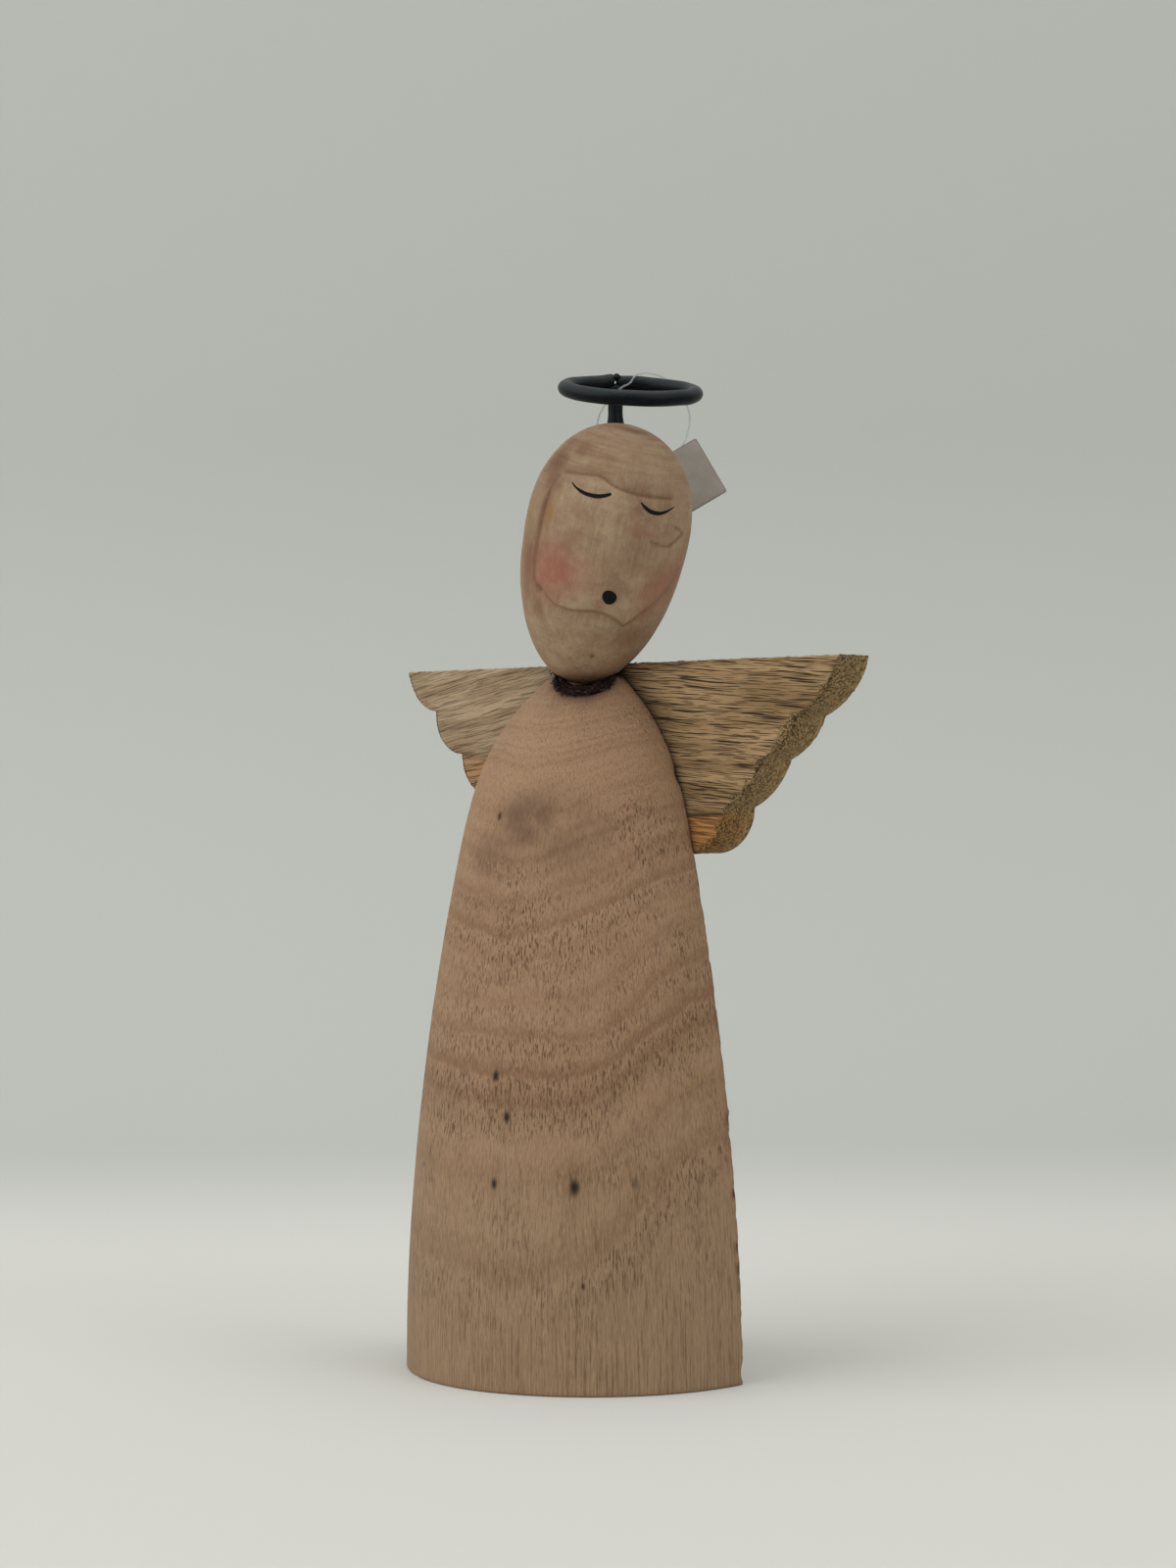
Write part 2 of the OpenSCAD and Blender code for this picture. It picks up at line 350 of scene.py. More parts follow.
# %% Nylon finish
nylon = Finish("clear_nylon")
nylon_haze = nylon.grain((1.5, 1.5, 1.5), 2.0)
nylon_finish = nylon.surface(
    Base_Color=nylon.blend(nylon_haze, srgb(150, 154, 152), srgb(190, 194, 192)),
    Roughness=nylon_haze * 0.12 + 0.08,
    Alpha=nylon_haze * 0.25 + 0.2,
    IOR=1.5,
)
print("finish:", nylon_finish.name)

# %% Smooth line through points
def smooth_line(points, pieces):
    """A smooth line through points, with the same number of steps between each two."""
    points = np.asarray(points, float)
    ends = np.concatenate([points[:1], points, points[-1:]])
    t = (np.arange(pieces) / pieces)[:, None]
    out = []
    for a, b, c, d in zip(ends[:-3], ends[1:-2], ends[2:-1], ends[3:]):
        bend = 2 * a - 5 * b + 4 * c - d
        out.append(0.5 * (2 * b + (c - a) * t + bend * t**2 + (3 * b - a - 3 * c + d) * t**3))
    return np.concatenate(out + [points[-1:]])


print("smooth line through two points:", len(smooth_line([(0, 0), (1, 1)], 8)), "points")

# %% Nylon loop
NYLON_D = 0.5
WIRE_D = 3.9
RING_R = 16.0
HALO_DROOP = math.radians(13.5)
HALO_TURN = math.radians(-34)
halo_joint = np.array([14.096026, 14.3, 248.288088])
halo_turn = np.array(Matrix.Rotation(HALO_TURN, 3, "Z") @ Matrix.Rotation(HALO_DROOP, 3, "Y"))
LOOP_SLACK = 0.3
rise_points = [
    (-12.1, 18.2, -16.8), (-12.6, 11.7, -14.3), (-10.6, 5.2, -11.3), (-6.6, 0.7, -8.8),
    (-2.1, -2.3, -6.3), (1.4, -3.8, -4.8), (2.9, -3.3, -3.3), (3.9, -2.3, -1.8),
]
wire_turns = [(166, 165), (163.5, 138), (161, 112), (158, 85)]
fall_points = [
    (3.2, 9.1, 2.9), (0.9, 18.5, 2.4), (-1.7, 27, 0.1), (-3.9, 32, -2.9),
    (-4.6, 33.8, -5.7), (-5.1, 33.9, -8.5), (-5.6, 33.2, -11.3), (-6.2, 31.6, -14.4),
    (-6.5, 29.2, -17.7), (-5.9, 27.7, -18.5), (-6.8, 24.7, -19.2), (-9.1, 21.7, -18.3),
]


def on_ring(turn, around, reach):
    """A point at reach from the middle of the halo's wire. The turn is 180 degrees at the joint."""
    turn, around = np.radians(turn), np.radians(around)
    out = RING_R + reach * np.cos(around)
    local = np.stack([RING_R + out * np.cos(turn), out * np.sin(turn), reach * np.sin(around)], axis=-1)
    return halo_joint + local @ halo_turn.T


wire_reach = (WIRE_D + NYLON_D) / 2 + LOOP_SLACK
over_wire = [on_ring(turn, around, wire_reach) for turn, around in wire_turns]
loop_places = [halo_joint + p for p in rise_points] + over_wire + [halo_joint + p for p in fall_points]
loop_route = np.array(loop_places)
loop_curve = bpy.data.curves.new("nylon_loop", "CURVE")
loop_curve.dimensions = "3D"
loop_curve.bevel_depth = NYLON_D / 2 * MM
loop_curve.bevel_resolution = 3
loop_curve.resolution_u = 8
loop_curve.use_fill_caps = True
spline = loop_curve.splines.new("BEZIER")
spline.bezier_points.add(len(loop_route) - 1)
for knot, place in zip(spline.bezier_points, loop_route * MM):
    knot.co = place
    knot.handle_left_type = "AUTO"
    knot.handle_right_type = "AUTO"
loop_curve.materials.append(nylon_finish)
loop = add_object("nylon_loop", loop_curve)
finish_piece(loop, "head", "tag_loop")
loop_steps = np.linalg.norm(np.diff(smooth_line(loop_route, 8), axis=0), axis=1)
loop_length = float(loop_steps.sum()) * MM
print("nylon loop:", round(loop_length * 1000, 1), "mm")

# %% [markdown]
# The barrel that closes the loop is a short turned sleeve with rounded ends and a crimped waist.
# It lies behind the head, between the two ends of the thread.

# %% Loop lock
def lathe(profile, columns):
    """Points and faces of a solid turned about z, from (radius, height) pairs with radius 0 at both ends."""
    rings = profile[1:-1]
    turn = np.linspace(0, 2 * math.pi, columns, endpoint=False)
    points = [(r * math.cos(t), r * math.sin(t), z) for r, z in rings for t in turn]
    points += [(0, 0, profile[0][1]), (0, 0, profile[-1][1])]
    return np.array(points), closed_tube(len(rings), columns)


LOCK_D = 2.4
LOCK_GRIP = 0.5
lock_from, lock_to = loop_route[-1], loop_route[0]
lock_axis = (lock_to - lock_from) / np.linalg.norm(lock_to - lock_from)
lock_length = np.linalg.norm(lock_to - lock_from) + 2 * LOCK_GRIP
lock_profile = [(0, 0), (0.5, 0), (0.95, 0.06), (1.15, 0.25), (1.2, 0.6)]
lock_profile += [(LOCK_D / 2 - 0.22 * math.sin(math.pi * s) ** 2, 0.6 + (lock_length - 1.2) * s)
                 for s in np.linspace(0.08, 0.92, 14)]
lock_profile += [(1.2, lock_length - 0.6), (1.15, lock_length - 0.25), (0.95, lock_length - 0.06)]
lock_profile += [(0.5, lock_length), (0, lock_length)]
lock_points, lock_faces = lathe(lock_profile, 28)
lock_side = np.cross(lock_axis, (0, 0, 1))
lock_side /= np.linalg.norm(lock_side)
lock_turn = np.stack([lock_side, np.cross(lock_axis, lock_side), lock_axis])
lock_points = lock_from - LOCK_GRIP * lock_axis + lock_points @ lock_turn
lock = make_piece("loop_barrel", lock_points, lock_faces, nylon_finish, "head", "loop_lock")

# %% [markdown]
# ## Gown
# The gown is half of a turned cone. Its wood was cut through the heart of the trunk, so the growth
# rings run round the same axis as the gown and show as long waves on its side. A ring pattern could
# be painted as stripes, but then the front and the sawn back wouldn't agree. Here each point of the
# mesh gets its distance from the heart of the trunk, and the stripes follow from that.

# %% Gown outline
GOWN_H = 175.0
BASE_R, SHOULDER_R, NECK_R = 48.6, 23.3, 10.4
SHOULDER_Z = 130.0
TAPER_CURVE, SHOULDER_CURVE = 1.87, 3.3
BACK_Y = 20.0
HEAD_LEN = 66.8
HEAD_R = 20.4
HEAD_FULL = 0.138
HEAD_CURVE = 2.32
HEAD_LEAN = math.radians(17)
SEAT_GAP = 0.4
SCOOP_R = 16.5
chin = np.array([-0.6, 14.3, 173.5])
scoop_middle = chin + (9.4, -8.5, 12.7)
lean_axis = np.array([math.sin(HEAD_LEAN), 0, math.cos(HEAD_LEAN)])
lean_side = np.array([math.cos(HEAD_LEAN), 0, -math.sin(HEAD_LEAN)])


def gown_radius(z):
    taper = (BASE_R - SHOULDER_R) * (np.clip(z, 0, GOWN_H) / GOWN_H) ** TAPER_CURVE
    round_part = np.clip(z - SHOULDER_Z, 0, GOWN_H - SHOULDER_Z) / (GOWN_H - SHOULDER_Z)
    return BASE_R - taper - (SHOULDER_R - NECK_R) * round_part**SHOULDER_CURVE


def head_radius(share):
    t = 2 * np.clip(share, 0, 1) - 1
    return HEAD_R * np.sqrt(np.maximum(0, 1 - np.abs(t) ** HEAD_CURVE)) * (1 + HEAD_FULL * t)


def outside_gown(points):
    return np.hypot(points[..., 0], points[..., 1] - BACK_Y) - gown_radius(points[..., 2])


def outside_head(points, grow=0.0):
    """Positive outside the egg grown by a gap, negative inside it."""
    local = points - chin
    along = local @ lean_axis
    out = np.hypot(local @ lean_side, local[..., 1])
    inside = head_radius((along + grow) / (HEAD_LEN + 2 * grow)) * (1 + grow / HEAD_R) - out
    return np.where((along > -grow) & (along < HEAD_LEN + grow), -inside, out + 1)


def seat_cut(points):
    """True where the scoop below the face or the seat of the chin takes wood away."""
    scoop = np.linalg.norm(points - scoop_middle, axis=-1) < SCOOP_R
    return scoop | (outside_head(points, SEAT_GAP) < 0)


print("gown radius at the base and the neck:", gown_radius(0.0), gown_radius(GOWN_H))

# %% Gown mesh
GOWN_ROWS = 230
FRONT_COLUMNS = 200
BACK_COLUMNS = 44
CAP_RINGS = 14
BASE_BREAK = 0.6
front_turn = np.radians(np.linspace(-90, 90, FRONT_COLUMNS + 1))
back_share = np.linspace(1, -1, BACK_COLUMNS + 1)[1:-1]
side_x = np.concatenate([np.sin(front_turn), back_share])
side_y = np.concatenate([-np.cos(front_turn), np.zeros(len(back_share))])
gown_columns = len(side_x)
heights = np.linspace(150, GOWN_H, 501)
radius = gown_radius(heights)[:, None]
rim_test = np.stack(
    [radius * side_x, BACK_Y + radius * side_y, np.repeat(heights[:, None], gown_columns, axis=1)], axis=-1
)
cut = seat_cut(rim_test)
lip = np.where(cut.any(axis=0), heights[cut.argmax(axis=0)], GOWN_H)
base_rows = np.array([0.0, 0.15, 0.35])
base_inset = np.array([BASE_BREAK, 0.3, 0.1])
rise = np.linspace(0, 1, GOWN_ROWS)
row_z = np.concatenate([
    np.repeat(base_rows[:, None], gown_columns, axis=1),
    BASE_BREAK + rise[:, None] * (lip - BASE_BREAK),
])
row_r = gown_radius(row_z)
row_r[: len(base_rows)] -= base_inset[:, None]
gown_skin = np.stack([row_r * side_x, BACK_Y + row_r * side_y, row_z], axis=-1)
skin_rows = len(row_z)
print("gown skin:", skin_rows, "rows of", gown_columns, "points")
print("lowest lip:", round(float(lip.min()), 1), "mm")

# %% [markdown]
# The sanded front isn't perfectly round, and the two sawn edges at the back are frayed. Slow noise
# moves the front by a tenth of a millimetre. The edges lose a few tenths more, with deeper chips at
# the heights where the photograph shows them.

# %% Noise at points
def grain_noise(points, size, seed):
    """Smooth noise from -1 to 1 at points in millimetres, with cells of the given size."""
    cell = np.asarray(points, float) / np.asarray(size, float)
    low = np.floor(cell).astype(np.int64)
    part = cell - low
    part = part * part * (3 - 2 * part)
    total = np.zeros(len(cell))
    for corner in np.ndindex(2, 2, 2):
        at = low + corner
        key = at[:, 0] * 73856093 ^ at[:, 1] * 19349663 ^ at[:, 2] * 83492791 ^ seed * 2654435761
        key = (key ^ (key >> 13)) * 1274126177 & 0x7FFFFFFF
        value = ((key ^ (key >> 16)) & 0xFFFF) / 32767.5 - 1
        weight = np.where(np.array(corner) == 1, part, 1 - part).prod(axis=1)
        total += value * weight
    return total


print("noise at three points:", grain_noise(np.eye(3), (2, 2, 2), 1).round(2).tolist())

# %% Gown wear
EDGE_WIDTH = 1.3
# Each chip is its height, half its length and its depth. A negative depth is a splinter that stands out.
right_chips = [
    (149.5, 1.7, 0.8), (104.0, 0.8, 0.2), (66.5, 0.9, -0.35), (61.0, 0.9, 0.2), (55.6, 1.1, 0.15),
    (48.0, 1.2, 0.15), (41.5, 0.9, 0.2), (32.0, 1.1, 0.1), (3.0, 2.2, 0.5),
]
skin = gown_skin.reshape(-1, 3)
outward = np.repeat(np.stack([side_x, side_y, np.zeros(gown_columns)], axis=-1)[None], skin_rows, axis=0)
outward = outward.reshape(-1, 3)
front_share = np.clip(-outward[:, 1] * 3, 0, 1)
wave = grain_noise(skin, (13, 13, 22), 3) * 0.14 + grain_noise(skin, (3.5, 3.5, 7), 4) * 0.035
skin = skin + outward * (wave * front_share)[:, None]
corner_x = gown_radius(skin[:, 2])
fray = np.maximum(0, grain_noise(skin * (0, 0, 1), (1, 1, 1.1), 5)) * 0.16
fray += np.maximum(0, grain_noise(skin * (0, 0, 1), (1, 1, 3.1), 6)) * 0.14 + 0.06
for middle, half, depth in right_chips:
    fray += np.where(skin[:, 0] > 0, depth * np.exp(-(((skin[:, 2] - middle) / half) ** 2)), 0)
corner_gap = np.hypot(np.abs(skin[:, 0]) - corner_x, skin[:, 1] - BACK_Y)
corner = np.clip(1 - corner_gap / EDGE_WIDTH, 0, 1)
corner = corner * corner
skin[:, 0] -= np.sign(skin[:, 0]) * fray * corner
skin[:, 1] -= fray * corner * 0.35
torn_patch = np.clip(grain_noise(skin, (1.5, 1.5, 2.6), 7) * 1.3 + 0.35, 0, 1)
torn_place = np.interp(skin[:, 2], [20, 28, 62, 72, 145, 149, 151, 154], [0.15, 1, 1, 0.2, 0.15, 1, 1, 0.3])
torn = np.clip(1.5 - corner_gap / 1.2, 0, 1) * np.clip(torn_place * torn_patch, 0, 1)
print("deepest chip:", round(float((fray * corner).max()), 2), "mm")

# %% Gown caps
cap_share = np.linspace(1, 0, CAP_RINGS + 1)[1:-1]
lip_ring = skin[-gown_columns:]
cap_middle = np.array([0.5, 14.5])
cap_rings = [cap_middle + (lip_ring[:, :2] - cap_middle) * s for s in cap_share]
cap = np.concatenate(cap_rings + [cap_middle[None]])
probe = np.linspace(160, GOWN_H, 301)
probe_xy = np.repeat(cap[:, None], len(probe), axis=1)
probe_z = np.broadcast_to(probe[:, None], (len(cap), len(probe), 1))
cap_cut = seat_cut(np.concatenate([probe_xy, probe_z], axis=2))
cap_z = np.where(cap_cut.any(axis=1), probe[cap_cut.argmax(axis=1)], GOWN_H)
cap_points = np.concatenate([cap, cap_z[:, None]], axis=1)
base_middle = np.array([[0, 3.0, 0]])
gown_points = np.concatenate([skin, cap_points, base_middle])
gown_faces = wrapped_grid(skin_rows + CAP_RINGS - 1, gown_columns).tolist()
last_ring = np.arange(gown_columns) + (skin_rows + CAP_RINGS - 2) * gown_columns
gown_faces += fan(last_ring, len(gown_points) - 2)
gown_faces += fan(np.arange(gown_columns)[::-1], len(gown_points) - 1)
print("gown mesh:", len(gown_points), "points")


# %% Ring field and marks of the gown
def ring_radius(points):
    """Distance from the heart of the trunk, with the wave that the photograph shows on the front."""
    x, y, z = points.T
    out = np.hypot(x, y - BACK_Y)
    turn = np.degrees(np.arctan2(x, np.maximum(BACK_Y - y, 1e-6)))
    low = np.interp(turn, [-90, -45, -8, 8, 25, 42, 48, 53, 59, 63, 70, 78, 90],
                    [1.1, 0.6, 0.1, 0, 0.05, 0.2, 0.45, 0.85, 1.4, 1.75, 2.1, 2.45, 2.7])
    high = np.interp(turn, [-90, -25, 8, 28, 44, 65, 90], [1.6, 1.0, 0, 0.7, 1.55, 2.8, 3.4])
    share = np.clip((z - 92) / 22, 0, 1)
    return out + low * (1 - share) + high * share


column_lip = np.tile(lip, skin_rows)
one_turn = np.concatenate([front_turn, np.full(len(back_share), math.pi)])
column_turn = np.degrees(np.tile(one_turn, skin_rows))
neck_side = np.clip((column_turn + 45) / 25, 0, 1) * np.clip((135 - column_turn) / 25, 0, 1)
# Darker just below the gown's lip, under the head: partly stain and partly painted shade from the head.
neck_stain_and_shade = np.exp(-np.maximum(column_lip - skin[:, 2], 0) / 1.5) * neck_side
off_skin = np.zeros(len(cap_points) + 1)
gown_paint = {
    "ring": ring_radius(gown_points),
    "seat": np.concatenate([np.zeros(len(skin)), np.ones(len(cap_points)), [0.0]]),
    "neck": np.concatenate([neck_stain_and_shade, off_skin]),
    "torn": np.concatenate([torn, off_skin]),
}
print("rings reach from", gown_paint["ring"].min().round(1), "to", gown_paint["ring"].max().round(1), "mm")

# %% [markdown]
# The finish of the gown has five layers: slow changes of colour, the growth rings, short dark pores
# that run up the grain, a few pin knots with a long soft halo, and stains. Under the head the stains
# are mixed with painted shade. Pores are noise stretched along z and cut off at a level, and a slower
# noise gathers them in patches. Only the grain and the pores have relief here, by a bump of about a
# tenth of a millimetre.

# %% Growth rings of the gown
gown = Finish("sanded_gown_wood")
drift = gown.grain((9, 9, 20), 4.0, 0.6)
feather = gown.grain((0.3, 0.3, 6), 2.0, 0.6)
ring = gown.painted("ring") + (drift - 0.5) * 0.6 + (feather - 0.5) * 0.3
# Each dark year is its distance from the heart of the trunk and how dark it is
ring_years = [
    (34.6, 0.35), (36.5, 0.4), (38.1, 0.75), (39.2, 0.3), (40.6, 0.35), (41.9, 0.6), (43.2, 0.95),
    (44.05, 0.85), (46.0, 0.12), (47.7, 0.5),
]
year_line = ring * 0.0
pore_row = year_line
for year, depth in ring_years:
    dark_year = gown.ease(ring, year - 0.6, year) * gown.ease(ring, year + 0.2, year)
    after_year = gown.ease(ring, year, year + 0.3) * gown.ease(ring, year + 1.5, year + 0.4)
    year_line = year_line.at_least(dark_year * depth)
    pore_row = pore_row.at_least(after_year * depth)
print("dark years:", len(ring_years), "nodes so far:", len(gown.tree.nodes))

# %% Pores and colours of the gown
ring_line = gown.node("ShaderNodeCombineXYZ", {}, {0: ring * 1.05})
ring_tone = gown.noise(ring_line, 3.0, 0.62)
ring_bands = gown.noise(gown.node("ShaderNodeCombineXYZ", {}, {0: ring * 0.42, 1: 4.0}), 1.0)
slow_tone = gown.grain((26, 26, 45), 2.0)
streak = gown.grain((0.5, 0.5, 30), 3.0, 0.6)
fibre = gown.grain((0.22, 0.22, 3.5), 2.0, 0.6)
pore_cloud = gown.grain((11, 11, 16), 2.0)
above_base = gown.ease(gown.axis("Z"), 0.008, 0.034) * 0.75 + 0.25
pore_patch = gown.ease(pore_row * 0.45 + pore_cloud, 0.42, 0.82) * above_base
pore_cut = gown.grain((0.36, 0.36, 3.4), 1.0, 0.4)
pore = gown.ease(pore_cut, 0.575, 0.66) * pore_patch
small_pore = gown.ease(gown.grain((0.26, 0.26, 1.8), 0.0), 0.64, 0.76) * 0.5
gown.colour = gown.ramp(ring_tone, [
    (0.22, srgb(116, 85, 61)), (0.38, srgb(137, 106, 79)), (0.50, srgb(149, 117, 89)),
    (0.64, srgb(155, 124, 95)), (0.80, srgb(141, 110, 83)),
])
gown.coat(gown.ease(ring_bands, 0.52, 0.72) * 0.3, srgb(126, 89, 61))
gown.coat(gown.ease(slow_tone, 0.35, 0.7) * 0.45, srgb(159, 130, 101))
gown.coat(gown.ease(gown.axis("Z"), 0.1, 0.02) * 0.6, srgb(138, 117, 92))
gown.coat(year_line * 0.7, srgb(110, 75, 49))
base_streak = gown.ease(gown.axis("Z"), 0.06, 0.0) * 0.4 + 0.5
gown.coat(gown.ease(streak, 0.45, 0.72) * base_streak, srgb(104, 75, 52))
gown.coat(gown.ease(fibre, 0.42, 0.72) * 0.38, srgb(180, 148, 115))
gown.coat(gown.ease(fibre, 0.48, 0.24) * 0.42, srgb(106, 77, 53))
gown.coat((pore + small_pore * pore_patch).at_most(1.0) * 0.72, srgb(84, 56, 36))
print("wood nodes so far:", len(gown.tree.nodes))

# %% Knots, stains and painted shade of the gown
knot_pixels = [(506, 1098), (517, 1140), (504, 1208), (586, 1212), (648, 1208), (595, 1313), (510, 833)]
knot_sizes = [1.7, 1.6, 1.6, 2.4, 1.8, 1.0, 1.3]
knot_depths = [1.0, 1.0, 0.95, 1.0, 0.5, 0.85, 1.0]
knot_places = first_hit(knot_pixels, outside_gown)
for place, size, depth in zip(knot_places, knot_sizes, knot_depths):
    gown.coat(gown.near(place, size * 1.8, 0.3) * (0.22 * depth), srgb(104, 72, 46))
    gown.coat(gown.near(place, size * 0.8, 0.6) * depth, srgb(34, 19, 10))
smudge_places = first_hit([(538, 838), (574, 855), (506, 868), (560, 826)], outside_gown)
smudge = gown.near(smudge_places[0], 14.0, 1.2)
for place, size in zip(smudge_places[1:], (18.0, 13.0, 12.0)):
    smudge = smudge.at_least(gown.near(place, size, 1.1) * 0.55)
smudge_cloud = gown.grain((6, 6, 7), 3.0, 0.5)
smudge_streak = gown.ease(fibre + streak, 0.6, 1.15) * 0.6 + 0.55
smudge_rub = (smudge * gown.ease(smudge_cloud, 0.0, 0.7) * smudge_streak).at_most(0.85)
gown.coat(smudge_rub * 0.9, srgb(98, 72, 52))
# Stain and painted shade just below the lip, under the head.
gown.coat(gown.painted("neck") * gown.ease(smudge_cloud, 0.1, 0.6), srgb(52, 32, 24))
# The top of the gown under the chin is near black: stained end grain with painted shade from the head.
seat_stain_and_shade = gown.painted("seat").at_least(gown.ease(gown.axis("Z"), 0.1735, 0.1752) * 0.5)
gown.coat(seat_stain_and_shade * gown.ease(fibre, 0.2, 0.6), srgb(24, 13, 10))
gown.coat(gown.painted("torn") * gown.ease(fibre + streak, 0.55, 0.95), srgb(74, 43, 23))
gown_height = fibre * 0.45 + streak * 0.35 - pore * 0.9 - small_pore * pore_patch * 0.5
gown_finish = gown.surface(
    Base_Color=gown.colour,
    Roughness=0.62 + fibre * 0.18 + pore * 0.1,
    Specular_IOR_Level=0.3,
    Normal=gown.bump(gown_height, 0.12),
)
make_piece("gown_shell", gown_points, gown_faces, gown_finish, "gown", "gown_body", gown_paint)

# %% [markdown]
# ## Head
# The head is an egg with a face carved into its front. Grooves mark the brow, the hair and the jaw,
# two black lines are the closed eyes, and a black dot is the mouth. Sculpting is the usual way to
# make this. In code, a height map does the same: each point of the egg is projected into the
# camera's picture, and a few lines drawn there push it in or out.

# %% Lines of the face, in pixels of the photograph
brow_line = [(576, 480), (592, 483), (613, 486), (627, 496), (645, 503), (663, 507), (684, 509)]
hair_line = [(569, 484), (560, 500), (553, 524), (548, 548), (544.5, 575), (545, 592), (549, 603)]
jaw_line = [
    (551, 598), (556, 606), (566, 617), (582, 623), (606, 624.5), (620, 628), (630, 634), (636, 639),
    (645, 634), (656, 625), (672, 611), (684, 596), (691, 580),
]
left_eye = [(583.5, 492), (588, 497.5), (596, 503), (607, 506.2), (616, 506), (623.5, 504)]
right_eye = [(654, 512.5), (658.5, 518), (665, 522.5), (673, 524), (680.5, 522), (688.5, 517)]
cheek_chip = [(689, 538), (695.5, 543.5), (690, 551), (681, 557.5), (672, 556), (664, 553)]
mouth_middle = (621.8, 609.6)
MOUTH_PX = 7.2


def line_gap(pixels, line):
    """Distance in pixels from each pixel to a line of points."""
    best = np.full(len(pixels), 1e9)
    line = np.asarray(line, float)
    for a, b in zip(line[:-1], line[1:]):
        along = np.clip(((pixels - a) @ (b - a)) / ((b - a) @ (b - a)), 0, 1)
        best = np.minimum(best, np.linalg.norm(pixels - a - along[:, None] * (b - a), axis=1))
    return best


def spot(pixels, middle, wide, tall, tilt=0.0):
    """A soft round or oval spot, 1 in its middle."""
    away = pixels - np.asarray(middle, float)
    c, s = math.cos(math.radians(tilt)), math.sin(math.radians(tilt))
    across, down = away[:, 0] * c + away[:, 1] * s, away[:, 1] * c - away[:, 0] * s
    return np.exp(-((across / wide) ** 2) - (down / tall) ** 2)


def below_line(pixels, line):
    """How far pixels lie below a line that runs from left to right, fading past its two ends."""
    line = np.asarray(line, float)
    depth = pixels[:, 1] - np.interp(pixels[:, 0], line[:, 0], line[:, 1])
    ends = np.clip((pixels[:, 0] - line[0, 0] + 10) / 10, 0, 1)
    ends *= np.clip((line[-1, 0] + 10 - pixels[:, 0]) / 10, 0, 1)
    return depth, ends


print("face drawn with", len(brow_line) + len(hair_line) + len(jaw_line), "points")

# %% Heights of the carving
def line_glow(pixels, line, width):
    """1 on a smooth line through points, falling to 0 beside it."""
    return np.exp(-((line_gap(pixels, smooth_line(line, 6)) / width) ** 2))


def soft_step(distance, width):
    """0 far before an edge and 1 far past it."""
    return 1 / (1 + np.exp(np.clip(-distance / width, -50, 50)))


# Each groove is its line, its half width in pixels and its depth in millimetres
grooves = [
    (brow_line, 2.6, 0.4), (hair_line, 3.8, 0.4), (jaw_line, 2.0, 0.2), (cheek_chip, 1.2, 0.16),
    (left_eye, 3.4, 0.2), (right_eye, 3.2, 0.2),
]


def carving(pixels):
    """Height of the carved face over the egg, in millimetres."""
    height = -0.3 * spot(pixels, (573, 470), 8, 20, 25)
    for line, width, depth in grooves:
        height -= depth * line_glow(pixels, line, width)
    below, ends = below_line(pixels, jaw_line)
    edge = soft_step(below, 0.9)
    height += ends * (0.42 * (1 - edge) * np.exp(-np.maximum(-below, 0) / 26))
    height -= ends * (0.55 * edge * np.exp(-np.maximum(below, 0) / 20))
    under, ends = below_line(pixels, brow_line)
    edge = soft_step(under, 1.0)
    height += ends * 0.25 * (1 - edge) * np.exp(-np.maximum(-under, 0) / 16)
    height += 0.42 * spot(pixels, (604, 496), 19, 7.5, 8) + 0.4 * spot(pixels, (671, 514), 16, 6.5, 6)
    inside_mouth = MOUTH_PX - np.linalg.norm(pixels - mouth_middle, axis=1)
    return height - 0.28 * soft_step(inside_mouth, 0.8)


print("deepest cut:", round(float(carving(np.array(hair_line, float)).min()), 2), "mm")

# %% Head mesh
FACE_AZIMUTH = -41.0
HEAD_COLUMNS = 300
HEAD_ROWS = 236
even = np.linspace(0, 1, HEAD_COLUMNS, endpoint=False)
crowd = np.linspace(0, 1, 2001)
density = 1 + 3.2 * np.exp(-(((crowd - 0.5) / 0.2) ** 4))
travel = np.concatenate([[0], np.cumsum((density[1:] + density[:-1]) / 2)])
head_turn = 2 * math.pi * np.interp(even, travel / travel[-1], crowd) - math.pi + math.radians(FACE_AZIMUTH)
polar = np.linspace(0, math.pi, HEAD_ROWS + 2)[1:-1]
share = (1 - np.cos(polar)) / 2
ring_r = head_radius(share)
back_way = np.array([0, 1.0, 0])
spokes = np.cos(head_turn)[:, None] * lean_side + np.sin(head_turn)[:, None] * back_way
egg = chin + (share * HEAD_LEN)[:, None, None] * lean_axis + ring_r[:, None, None] * spokes
egg = np.concatenate([egg.reshape(-1, 3), chin[None], (chin + HEAD_LEN * lean_axis)[None]])


def egg_normal(points):
    """Outward direction of the egg at points on it."""
    gap = 0.05
    steps = np.eye(3) * gap
    slope = np.stack([outside_head(points + s) - outside_head(points - s) for s in steps], axis=-1)
    return slope / np.maximum(np.linalg.norm(slope, axis=1, keepdims=True), 1e-9)


normal = egg_normal(egg)
normal[-2], normal[-1] = -lean_axis, lean_axis
toward = eye_mm - egg
toward /= np.linalg.norm(toward, axis=1, keepdims=True)
facing = np.clip((normal * toward).sum(axis=1) * 5 - 0.4, 0, 1)
seen = to_pixels(egg)
rough_egg = grain_noise(egg, (5, 5, 5), 11) * 0.09 + grain_noise(egg, (1.4, 1.4, 3), 12) * 0.02
head_points = egg + normal * (carving(seen) * facing + rough_egg)[:, None]
head_faces = closed_tube(HEAD_ROWS, HEAD_COLUMNS)
print("head mesh:", len(head_points), "points")
